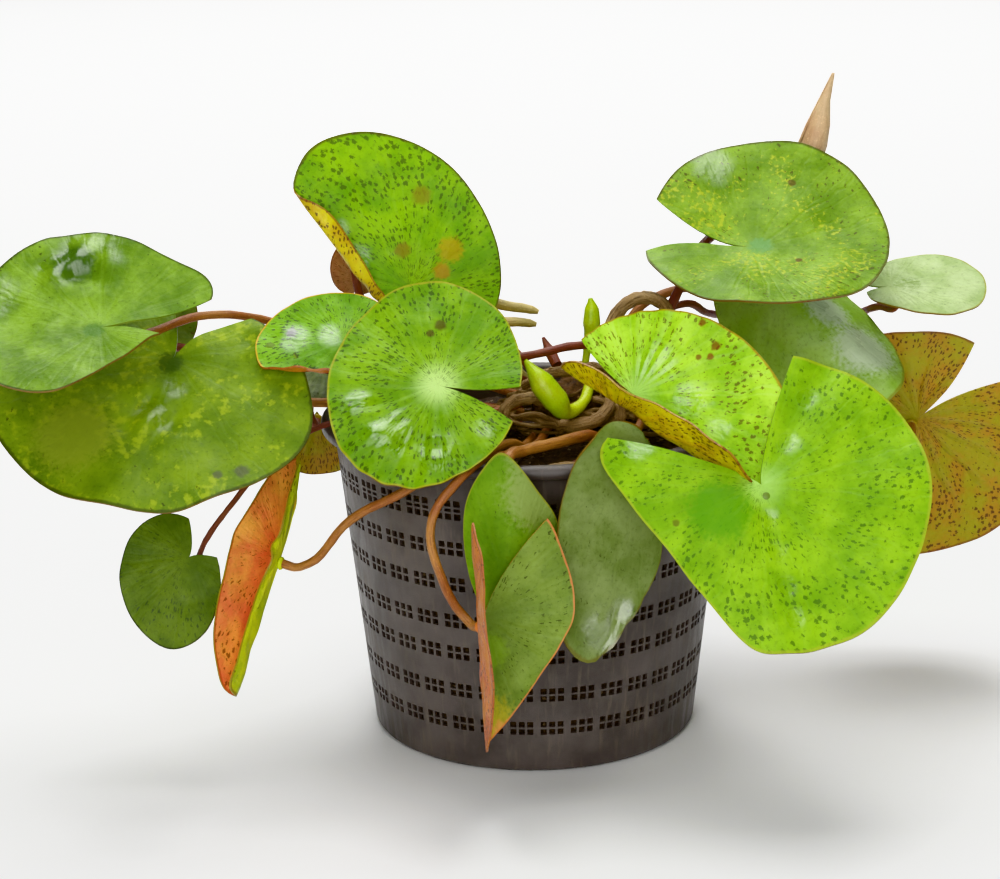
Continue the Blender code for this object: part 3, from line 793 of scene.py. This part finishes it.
# %% Tubes
def tube(name, route, sides=12, steps=8):
    """A round tube through points that each carry a half thickness, all in millimetres."""
    start_alone()
    bpy.ops.curve.primitive_bezier_curve_add()
    line = bpy.context.object
    line.name = name
    line.data.bevel_depth = MM
    line.data.bevel_resolution = sides // 2 - 2
    line.data.resolution_u = steps
    line.data.use_fill_caps = True
    points = line.data.splines[0].bezier_points
    points.add(len(route) - 2)
    for point, (x, y, z, radius) in zip(points, route):
        point.co = Vector((x, y, z)) * MM
        point.radius = radius
        point.handle_left_type = point.handle_right_type = "AUTO"
    bpy.ops.object.convert(target="MESH")
    mesh = line.data
    mesh.name = name
    while mesh.uv_layers:
        mesh.uv_layers.remove(mesh.uv_layers[0])
    spots = np.array([vertex.co[:] for vertex in mesh.vertices]).reshape(-1, sides, 3)
    gaps = np.linalg.norm(np.diff(spots.mean(axis=1), axis=0), axis=1)
    along = np.repeat(np.concatenate(([0.0], np.cumsum(gaps))), sides)
    around = np.tile(np.arange(sides) / sides, len(spots))
    layer = mesh.uv_layers.new(name="skin")
    for face in mesh.polygons:
        turns = [around[mesh.loops[corner].vertex_index] for corner in face.loop_indices]
        wraps = max(turns) - min(turns) > 0.5 and len(turns) == 4
        for corner, turn in zip(face.loop_indices, turns):
            vertex = mesh.loops[corner].vertex_index
            layer.uv[corner].vector = (turn + (wraps and turn < 0.5), along[vertex])
    bpy.ops.object.shade_smooth_by_angle(angle=radians(60))
    return line


def roughen(piece, height, size, seed):
    """Push each vertex in or out along its normal by smooth noise."""
    for vertex in piece.data.vertices:
        spot = vertex.co / (size * MM) + Vector((seed, 0, 0))
        vertex.co += vertex.normal * noise.fractal(spot, 1.0, 2.0, 3) * height * MM
    piece.data.update()


def register(piece, node, material):
    """Give a piece its finish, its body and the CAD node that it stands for."""
    piece.data.materials.clear()
    piece.data.materials.append(material)
    for face in piece.data.polygons:
        face.material_index = 0
    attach(piece, "root")
    if node:
        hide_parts(node)


# %% [markdown]
# Stalks are smooth, fleshy and slightly fuzzy. Their colour changes slowly along them, with fine
# streaks and specks that run lengthwise.

# %% Finish of stalks
def skin_place(finish):
    """Place on a tube without a seam: round the section, and along in millimetres."""
    skin = finish.node("ShaderNodeUVMap", {}, uv_map="skin")
    around = finish.node("ShaderNodeSeparateXYZ", {0: skin})
    turn = finish.math("MULTIPLY", around, 2 * pi)
    length = finish.math("MULTIPLY", around.node.outputs[1], 1000)
    return finish.node(
        "ShaderNodeCombineXYZ",
        {0: finish.math("COSINE", turn), 1: finish.math("SINE", turn), 2: length},
    )


def stalk_finish(name, first, second, third, roughness=0.38, streaks=0.5, lumps_high=0.25):
    """A fleshy stalk or root in two slowly changing colours with streaks of a third."""
    finish = Finish(name, roughness)
    skin = skin_place(finish)
    place = finish.body_place()
    broad = finish.step(finish.noise(place, 0.035, 3), 0.35, 0.65)
    colour = finish.mix(broad, tint(*first), tint(*second))
    streak = finish.noise(finish.spread(skin, 3.0, 3.0, 0.12), 1.0, 4, 0.65)
    colour = finish.mix(finish.step(streak, 0.42, 0.72, 0.0, streaks), colour, tint(*third))
    speck = finish.noise(place, 1.1, 3, 0.7)
    pale = tuple(min(255, part * 1.25) for part in first)
    colour = finish.mix(finish.step(speck, 0.55, 0.7, 0.0, 0.4), colour, tint(*pale))
    shine = finish.step(speck, 0.3, 0.7, roughness - 0.08, roughness + 0.15)
    height = finish.math("ADD", finish.math("MULTIPLY", streak, lumps_high * 2),
                         finish.math("MULTIPLY", speck, lumps_high))
    return finish.paint(colour, shine, height)


STALK_BROWN = stalk_finish("stalk_brown", (172, 122, 66), (150, 92, 52), (104, 58, 34), streaks=0.7)
STALK_RED = stalk_finish("stalk_red", (112, 52, 40), (128, 70, 46), (72, 34, 28), streaks=0.7)
ROOT = stalk_finish("root_bark", (190, 162, 115), (150, 120, 80), (84, 62, 42), 0.7, 0.9, 0.9)
YOUNG = stalk_finish("young_leaf", (140, 180, 20), (178, 195, 35), (150, 150, 40), 0.3, 0.3, 0.1)
TAN = stalk_finish("rolled_leaf_tan", (190, 170, 105), (150, 140, 75), (120, 105, 55), 0.4, 0.5)

# %% Routes of the stalks
Stalk = namedtuple("Stalk", "name look radius pad route")

STALKS = (
    Stalk("stalk_left_upper", "stalk_brown", 1.9, "pad_left_upper",
          ((-2, 4, 150), (-50, -4, 168), (-105, -8, 187), (-140, -32, 198), (-166, -58, 195))),
    Stalk("stalk_left_large", "stalk_brown", 2.1, "pad_left_large",
          ((-4, 0, 144), (-50, -16, 154), (-100, -30, 158), (-135, -40, 165))),
    Stalk("stalk_left_small", "stalk_red", 1.9, "pad_left_small",
          ((46, 14, 160), (38, 2, 173), (23, -5, 176), (-2, -20, 175), (-44, -36, 174))),
    Stalk("stalk_front_centre", "stalk_brown", 1.9, "pad_front_centre",
          ((-6, -8, 150), (-22, -30, 150), (-28, -50, 152), (-32, -66, 160))),
    Stalk("stalk_top_left", "stalk_brown", 1.9, "pad_top_left",
          ((4, 13, 156), (-12, 15, 174), (-35, 12, 190))),
    Stalk("stalk_left_curled", "stalk_red", 1.8, "pad_left_curled",
          ((0, 14, 154), (-30, 18, 168), (-60, 12, 182), (-74, 4, 194))),
    Stalk("stalk_right_upper", "stalk_brown", 2.1, "pad_right_upper",
          ((40, 18, 158), (43, 26, 172), (50, 32, 184), (64, 35, 191), (86, 32, 196))),
    Stalk("stalk_right_middle", "stalk_brown", 1.9, "pad_right_middle",
          ((52, 14, 146), (74, 48, 150), (98, 68, 158), (113, 62, 170))),
    Stalk("stalk_right_front", "stalk_brown", 2.1, "pad_right_front",
          ((54, -10, 141), (62, -40, 148), (69, -64, 149.5), (80, -89, 141))),
    Stalk("stalk_folded", "stalk_red", 1.9, "pad_folded",
          ((40, -12, 157), (47, -33, 161), (49, -50, 164))),
    Stalk("stalk_right_back", "stalk_brown", 2.1, "pad_right_back",
          ((60, 0, 141), (90, 9, 149), (122, 22, 130), (164, 36, 122))),
    Stalk("stalk_right_small", "stalk_red", 1.8, "pad_right_small",
          ((50, 20, 160), (57, 32, 178), (70, 36, 185), (84, 53, 177), (97, 78, 170),
          (122, 91, 164), (150, 78, 168), (163, 48, 180))),
    Stalk("stalk_left_low", "stalk_red", 1.3, "pad_left_low",
          ((-5, -6, 140), (-50, -26, 148), (-88, -40, 151), (-114, -43, 136), (-132, -44, 116),
          (-144, -45, 100))),
    Stalk("stalk_left_hanging", "stalk_brown", 1.9, "pad_left_hanging",
          ((2, -12, 137), (-8, -44, 138), (-24, -74, 144), (-35, -90, 148.5), (-50, -93, 138),
          (-78, -79, 119))),
    Stalk("stalk_left_rim", "stalk_red", 1.7, "pad_left_rim",
          ((-4, 12, 142), (-45, 14, 147), (-84, 13, 152), (-99, 9, 149))),
    Stalk("stalk_left_shaded", "stalk_brown", 2.0, "pad_left_shaded",
          ((0, 20, 148), (-40, 24, 154), (-75, 20, 157))),
    Stalk("stalk_left_behind", "stalk_red", 1.9, "pad_left_behind",
          ((-5, 2, 138), (-60, -10, 160), (-110, -20, 174), (-150, -19, 180))),
    Stalk("stalk_front_folded", "stalk_brown", 1.9, "pad_front_folded",
          ((8, -10, 140), (-1, -45, 140), (-11, -70, 149), (-21, -91, 149), (-34, -103, 140),
          (-43, -106, 126), (-40, -110, 105))),
    Stalk("stalk_front_inner", "stalk_brown", 2.5, "pad_front_inner",
          ((34, -14, 138), (29, -32, 140), (24, -48, 146), (10, -66, 148), (-5, -82, 149),
          (-11, -93, 149.5), (-12, -100, 142), (-12, -100, 125))),
    Stalk("stalk_front_grey", "stalk_brown", 1.9, "pad_front_grey",
          ((45, -13, 146), (48, -35, 150), (45, -58, 152))),
)

for row in STALKS:
    pad = pads[row.pad]
    frame_of_pad = pad_frame(pad)
    ends = []
    for drop in (10.0, 1.2):
        flat = np.array([[4.0, 0.0, -drop - 0.4]])
        for bend in pad.bends:
            flat = roll_up(flat, *bend)
        ends.append(tuple(frame_of_pad @ Vector(flat[0].tolist()) / MM))
    route = [(*point, row.radius) for point in (*row.route, *ends)]
    piece = tube("tube_" + row.name, route)
    roughen(piece, 0.25, 5.0, 3)
    register(piece, row.name, STALK_RED if row.look == "stalk_red" else STALK_BROWN)
print(len(STALKS), "stalks")

# %% [markdown]
# ## Roots, buds and young leaves
#
# These are tubes as well, thicker in the middle and closed at the ends. Roots are pushed in and
# out by noise, which gives them their knobbly bark.

# %% Roots and young growth
Tapered = namedtuple("Tapered", "name look route")

TAPERED = (
    Tapered("rolled_leaf_tall", "rolled_leaf",
            ((134, 73, 245, 3.6), (134, 72, 254, 7.4), (138, 72, 267, 5.2), (140, 72, 277, 2.2),
             (145, 72, 286, 0.5))),
    Tapered("stalk_rolled_tall", "stalk_red",
            ((52, 8, 159, 2.2), (59, 14, 178, 2.2), (67, 19, 194, 2.2), (78, 34, 211, 2.2),
             (98, 58, 220, 2.2), (124, 74, 232, 2.2), (134, 73, 243.5, 2.2))),
    Tapered("young_leaf_front", "young_leaf",
            ((26, -13, 161, 2.2), (22, -27, 155, 2.4), (14, -37, 154, 3.6), (10, -41, 160, 5.6),
             (4, -42, 168, 5.4), (-3, -40, 178, 0.8))),
    Tapered("bud_small", "young_leaf",
            ((24, 2, 162, 1.6), (25.5, 4, 172, 1.8), (27, 5, 178, 3.0), (27.5, 5, 184, 4.1),
             (27.5, 5, 190, 3.4), (27, 5, 195, 1.0))),
    Tapered("rolled_leaf_back_upper", "rolled_leaf",
            ((0, 24, 152, 1.8), (-16, 30, 168, 1.8), (-30, 31, 180, 2.0), (-22, 29, 188, 2.4),
             (-8, 27, 187, 2.4), (1, 26, 185.5, 2.0), (4, 25.5, 184.6, 1.1))),
    Tapered("rolled_leaf_back_lower", "rolled_leaf",
            ((-4, 17, 150, 1.8), (-15, 22, 163, 1.8), (-24, 23, 173, 2.0), (-18, 22, 180, 2.2),
             (-8, 22, 181, 2.3), (0, 23, 180, 2.0), (3, 23, 179.4, 1.1))),
    Tapered("sheath_tip", "stalk_red",
            ((12, 12, 163, 2.4), (9, 17, 168, 2.8), (6, 20, 174, 0.8))),
    Tapered("root_loop_left", "root",
            ((-18, -44, 136, 2.2), (-14, -45, 149, 2.6), (-11, -42, 158, 2.6), (-3, -37, 160, 2.6),
             (6, -28, 156, 2.4), (10, -14, 150, 2.2))),
    Tapered("root_loop_front", "root",
            ((12, -20, 140, 2.4), (14, -28, 145, 2.8), (21, -34, 147, 3.0), (31, -30, 150, 3.0),
             (35, -23, 156, 2.8), (33, -14, 159, 2.2))),
    Tapered("root_front_rim", "root",
            ((-4, -80, 137, 2.0), (5, -82, 140, 2.6), (24, -80, 141, 2.8), (36, -68, 137, 2.0))),
    Tapered("root_red", "stalk_red",
            ((34, -54, 139, 1.8), (28, -60, 140, 2.0), (17, -71, 139.5, 1.8), (8, -77, 137, 1.4))),
    Tapered("root_top_front", "root",
            ((-4, -6, 158, 2.0), (8, -9, 164, 2.6), (20, -10, 166, 2.6), (29, -9, 167, 2.0))),
    Tapered("root_top_back", "root",
            ((8, 17, 157, 2.0), (16, 18, 160, 2.6), (30, 16, 160, 2.6), (44, 14, 155, 2.0))),
    Tapered("root_upright", "root",
            ((37, -34, 164, 2.0), (38, -40, 156, 2.3), (38, -44, 146, 2.3), (36, -46, 134, 2.0))),
    Tapered("root_arch", "root",
            ((34, 5, 165, 2.6), (35, 8, 178, 2.8), (42, 10, 190, 3.0), (54, 9, 194, 3.0),
             (62, 5, 188, 2.8), (61, -2, 168, 2.4))),
)

TAPERED_FINISH = {
    "rolled_leaf": TAN, "stalk_red": STALK_RED, "young_leaf": YOUNG, "root": ROOT,
}
for row in TAPERED:
    if row.name == "rolled_leaf_tall":
        continue
    piece = tube("tube_" + row.name, row.route, 16, 10)
    if row.look == "root":
        roughen(piece, 0.7, 2.6, 5)
    else:
        roughen(piece, 0.2, 5.0, 5)
    register(piece, row.name, TAPERED_FINISH[row.look])

# %% [markdown]
# The tall leaf at the right is still rolled up like a cigar. A grid is wound into a spiral that
# gets narrower towards the tip, and then gets the thickness of a leaf, so its free edge shows as
# a real step.

# %% Rolled leaf
ROLL_AXIS = ((133, 73, 243.6), (134, 72.5, 252), (136.5, 72, 262), (139, 72, 273), (143, 72, 286))
ROLL_RADIUS = (5.6, 7.3, 5.8, 2.9, 0.5)
ROLL_TURNS = 1.35
start_alone()
bpy.ops.mesh.primitive_grid_add(x_subdivisions=60, y_subdivisions=48, size=2)
rolled = bpy.context.object
rolled.name = "rolled_leaf_sheet"
heights_along = np.linspace(0, 1, len(ROLL_AXIS))
for vertex in rolled.data.vertices:
    round_share = (vertex.co.x + 1) / 2
    rise = (vertex.co.y + 1) / 2
    middle = [np.interp(rise, heights_along, [spot[axis] for spot in ROLL_AXIS]) for axis in range(3)]
    radius = np.interp(rise, heights_along, ROLL_RADIUS) * (0.8 + 0.2 * round_share)
    turn = round_share * ROLL_TURNS * 2 * pi + 1.2
    vertex.co = Vector((middle[0] + radius * cos(turn), middle[1] + radius * sin(turn), middle[2])) * MM
skin_mesh = rolled.data
skin_mesh.uv_layers.remove(skin_mesh.uv_layers[0])
spots = np.array([vertex.co[:] for vertex in skin_mesh.vertices])
keep_map(skin_mesh, "skin", np.tile(np.linspace(0, 1, 61), 49), spots[:, 2])
wall = rolled.modifiers.new("wall", "SOLIDIFY")
wall.thickness = 0.6 * MM
wall.offset = 0
bpy.ops.object.modifier_apply(modifier=wall.name)
bpy.ops.object.shade_smooth_by_angle(angle=radians(60))
ROLLED = stalk_finish("rolled_leaf", (205, 178, 138), (188, 150, 112), (150, 110, 70), 0.42, 0.35)
register(rolled, "rolled_leaf_tall", ROLLED)

# %% [markdown]
# ## The crown
#
# The rhizome is the thick fibrous stem from which all stalks rise. It starts as a copy of the
# CAD solid: merged, divided, smoothed and roughened. Old roots wind round it. They are laid on an
# egg-shaped surface round the crown by a seeded random walk, drawn as tubes and joined.

# %% Crown
def crown_finish():
    """Dark fibrous bark with paler scars."""
    finish = Finish("crown_bark", 0.75)
    place = finish.body_place()
    cloud = finish.step(finish.noise(place, 0.25, 5, 0.7), 0.35, 0.65)
    colour = finish.mix(cloud, tint(62, 45, 32), tint(125, 92, 58))
    grain = finish.noise(place, 1.0, 5, 0.7)
    return finish.paint(colour, finish.step(grain, 0.3, 0.7, 0.6, 0.85), finish.math("MULTIPLY", grain, 1.5))


start_alone()
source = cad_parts["rhizome"]
crown = bpy.data.objects.new("crown_rhizome", source.data.copy())
bpy.context.collection.objects.link(crown)
crown.matrix_world = source.matrix_world
crown.select_set(True)
bpy.context.view_layer.objects.active = crown
bpy.ops.object.transform_apply(location=True, rotation=True, scale=True)
bpy.ops.object.mode_set(mode="EDIT")
bpy.ops.mesh.select_all(action="SELECT")
bpy.ops.mesh.remove_doubles(threshold=1e-6)
bpy.ops.mesh.subdivide(number_cuts=5, smoothness=1.0)
bpy.ops.object.mode_set(mode="OBJECT")
roughen(crown, 2.5, 8.0, 1)
bpy.ops.object.shade_smooth()
register(crown, "rhizome", crown_finish())

CROWN_MIDDLE = Vector((26, 0, 144))
CROWN_REACH = Vector((40, 27, 13))
rng = np.random.default_rng(7)
winding = []
for index in range(56):
    turn = rng.uniform(0, 2 * pi)
    lift = rng.uniform(-0.25, 1.1)
    run = rng.choice((-1, 1)) * rng.uniform(0.12, 0.3)
    thick = rng.uniform(0.6, 1.9)
    route = []
    for step in range(int(rng.integers(5, 9))):
        swell = 1.0 + rng.uniform(-0.05, 0.12)
        way = Vector((cos(turn) * cos(lift), sin(turn) * cos(lift), sin(lift)))
        spot = CROWN_MIDDLE + Vector([a * b for a, b in zip(way, CROWN_REACH)]) * swell
        route.append((*spot, thick * (1 - 0.08 * step)))
        turn += run * rng.uniform(0.7, 1.3)
        lift += rng.uniform(-0.22, 0.22)
    strand = tube("strand", route, 8, 5)
    roughen(strand, 0.35, 2.0, index)
    winding.append(strand)
start_alone()
for strand in winding:
    strand.select_set(True)
bpy.context.view_layer.objects.active = winding[0]
bpy.ops.object.join()
winding[0].name = "crown_roots"
register(winding[0], None, ROOT)
print("crown roots", len(winding[0].data.polygons), "faces")

# %% [markdown]
# ## The basket
#
# An aquatic basket is moulded in one piece: a tapered wall with rows of narrow slots, a rolled
# lip and a floor. The wall could be cut from a solid, but thousands of cuts are slow. Here a flat
# grid with a row for every edge of a slot is rolled up, the faces where the slots are get deleted,
# and the wall is thickened at the end.

# %% Basket wall
BASKET_HEIGHT = 145.0
BASE_CORNER = 5.0
RIM_RADIUS = 95.0
NECK_HEIGHT = 139.0
BASKET_WALL = 1.5
GROUPS = 36
SLOT_EDGES = (0.0, 1.15, 3.05, 3.95, 5.85, 6.75, 8.65, 10.0)
SLOT_COLUMNS = (1, 3, 5)
TOP_BANDS = ((124.3, 127.0), (122.0, 123.3), (118.3, 121.0))
LOWER_BANDS = (108.0, 91.5, 74.0, 59.0, 41.0, 25.0)


def wall_radius(height):
    """Outer radius of the tapered wall."""
    return 74.0 + 15.0 / 134.0 * (height - BASE_CORNER)


slot_rows = list(TOP_BANDS)
for top_edge in LOWER_BANDS:
    slot_rows.append((top_edge - 2.6, top_edge))
    slot_rows.append((top_edge - 6.2, top_edge - 3.6))
heights = sorted({edge for row in slot_rows for edge in row} | {2.5, NECK_HEIGHT, 132.5, 113.0})
# the floor of the basket is reached by two more rows that run in from the wall
profile = [(66.0, 0.0), (70.0, 0.0), (72.6, 1.0)]
profile += [(wall_radius(height), height) for height in heights]
angles = [group * 10 + edge for group in range(GROUPS) for edge in SLOT_EDGES[:-1]] + [360.0]
columns = len(angles) - 1
rows = len(profile) - 1
start_alone()
bpy.ops.mesh.primitive_grid_add(x_subdivisions=columns, y_subdivisions=rows, size=2)
basket = bpy.context.object
basket.name = "basket_mesh"
for vertex in basket.data.vertices:
    column = round((vertex.co.x + 1) / 2 * columns)
    row = round((vertex.co.y + 1) / 2 * rows)
    radius, height = profile[row]
    turn = radians(angles[column])
    vertex.co = Vector((radius * sin(turn), -radius * cos(turn), height)) * MM
slot_bottoms = {low for low, high in slot_rows}
row_of = {height: index for index, (radius, height) in enumerate(profile)}
open_rows = {row_of[low] for low in slot_bottoms}
for face in basket.data.polygons:
    face.select = False
bpy.ops.object.mode_set(mode="EDIT")
bpy.ops.mesh.select_all(action="DESELECT")
bpy.ops.mesh.select_mode(type="FACE")
bpy.ops.object.mode_set(mode="OBJECT")
for face in basket.data.polygons:
    row, column = divmod(face.index, columns)
    face.select = row in open_rows and column % 7 in SLOT_COLUMNS
bpy.ops.object.mode_set(mode="EDIT")
bpy.ops.mesh.delete(type="FACE")
bpy.ops.mesh.select_all(action="SELECT")
bpy.ops.mesh.remove_doubles(threshold=1e-6)
bpy.ops.mesh.normals_make_consistent(inside=False)
bpy.ops.object.mode_set(mode="OBJECT")
print("basket wall", len(basket.data.polygons), "faces before thickening")
wall = basket.modifiers.new("wall", "SOLIDIFY")
wall.thickness = BASKET_WALL * MM
wall.offset = -1
bpy.ops.object.modifier_apply(modifier=wall.name)
bpy.ops.object.shade_smooth_by_angle(angle=radians(40))


def basket_finish():
    """Dark moulded plastic with a satin shine and dusty streaks."""
    finish = Finish("basket_plastic", 0.42)
    place = finish.body_place()
    cloud = finish.step(finish.noise(place, 0.05, 4, 0.6), 0.3, 0.7)
    colour = finish.mix(cloud, tint(74, 68, 65), tint(92, 85, 81))
    streak = finish.noise(finish.spread(place, 0.35, 0.35, 0.03), 1.0, 4, 0.6)
    colour = finish.mix(finish.step(streak, 0.5, 0.75, 0.0, 0.45), colour, tint(118, 108, 95))
    grain = finish.noise(place, 2.5, 3)
    shine = finish.step(streak, 0.3, 0.7, 0.32, 0.55)
    return finish.paint(colour, shine, finish.math("MULTIPLY", grain, 0.12))


# %% [markdown]
# The lip is spun: its round section is drawn once as a small circle of edges and turned about the
# axis of the basket. The floor of the basket is a disc of the same plastic.

# %% Basket lip and floor
LIP_SECTION = (
    (88.0, 138.6), (90.6, 138.9), (93.4, 139.2), (94.7, 140.2), (95.0, 141.8), (94.8, 143.4),
    (93.8, 144.6), (92.4, 145.0), (90.2, 145.0), (88.4, 144.6), (87.5, 143.4), (87.4, 141.0),
)
start_alone()
bpy.ops.mesh.primitive_circle_add(vertices=len(LIP_SECTION), radius=0.01)
lip = bpy.context.object
for vertex, (radius, height) in zip(lip.data.vertices, LIP_SECTION):
    vertex.co = Vector((radius, 0, height)) * MM
bpy.ops.object.mode_set(mode="EDIT")
bpy.ops.mesh.select_all(action="SELECT")
bpy.ops.mesh.spin(steps=144, angle=2 * pi, center=(0, 0, 0), axis=(0, 0, 1))
bpy.ops.mesh.select_all(action="SELECT")
bpy.ops.mesh.remove_doubles(threshold=1e-5)
bpy.ops.mesh.normals_make_consistent(inside=False)
bpy.ops.object.mode_set(mode="OBJECT")
bpy.ops.object.shade_smooth()
start_alone()
bpy.ops.mesh.primitive_cylinder_add(
    vertices=144, radius=67 * MM, depth=1.5 * MM, location=(0, 0, 0.75 * MM)
)
disc = bpy.context.object
bpy.ops.object.transform_apply(location=True)
start_alone()
for part in (lip, disc, basket):
    part.select_set(True)
bpy.context.view_layer.objects.active = basket
bpy.ops.object.join()
register(basket, "basket", basket_finish())

# %% [markdown]
# ## The soil
#
# Soil fills the basket and shows through the slots. A grid is wrapped round as for a pad, first
# over the top, then down inside the wall and in under the bottom, and noise makes it crumbly.

# %% Soil
SOIL_PROFILE = (
    [(share * 86.0, 132.0) for share in (0, 0.08, 0.16, 0.24, 0.32, 0.4, 0.48, 0.56, 0.64, 0.72)]
    + [(0.8 * 86, 131.6), (0.88 * 86, 131.0), (0.95 * 86, 130.0), (86.4, 128.4)]
    + [(wall_radius(height) - 2.0, height) for height in range(124, 4, -5)]
    + [(71.0, 2.6), (40.0, 2.2), (0.0, 2.0)]
)
start_alone()
bpy.ops.mesh.primitive_grid_add(x_subdivisions=180, y_subdivisions=len(SOIL_PROFILE) - 1, size=2)
soil = bpy.context.object
soil.name = "soil_fill"
for vertex in soil.data.vertices:
    row = round((vertex.co.y + 1) / 2 * (len(SOIL_PROFILE) - 1))
    radius, height = SOIL_PROFILE[row]
    turn = (vertex.co.x + 1) * pi
    spot = Vector((radius * sin(turn), -radius * cos(turn), height))
    if height > 125:
        spot.z += 2.6 * noise.fractal(spot / 9, 1.0, 2.0, 4)
    elif height > 3:
        spot.x *= 1 - 0.012 * (1 + noise.noise(spot / 4))
        spot.y *= 1 - 0.012 * (1 + noise.noise(spot / 4))
    vertex.co = spot * MM
bpy.ops.object.mode_set(mode="EDIT")
bpy.ops.mesh.select_all(action="SELECT")
bpy.ops.mesh.remove_doubles(threshold=1e-6)
bpy.ops.mesh.normals_make_consistent(inside=False)
bpy.ops.object.mode_set(mode="OBJECT")
bpy.ops.object.shade_smooth()


def soil_finish():
    """Wet dark soil with paler grains."""
    finish = Finish("soil_crumbs", 0.8)
    place = finish.body_place()
    cloud = finish.step(finish.noise(place, 0.3, 6, 0.75), 0.35, 0.7)
    colour = finish.mix(cloud, tint(52, 42, 34), tint(98, 78, 58))
    luck = finish.cells(place, 0.6, output="Color")
    grain = finish.step(finish.node("ShaderNodeSeparateColor", {0: luck}), 0.93, 0.97)
    colour = finish.mix(grain, colour, tint(150, 130, 105))
    height = finish.noise(place, 0.9, 6, 0.75)
    return finish.paint(colour, 0.8, finish.math("MULTIPLY", height, 2.5))


register(soil, "soil", soil_finish())
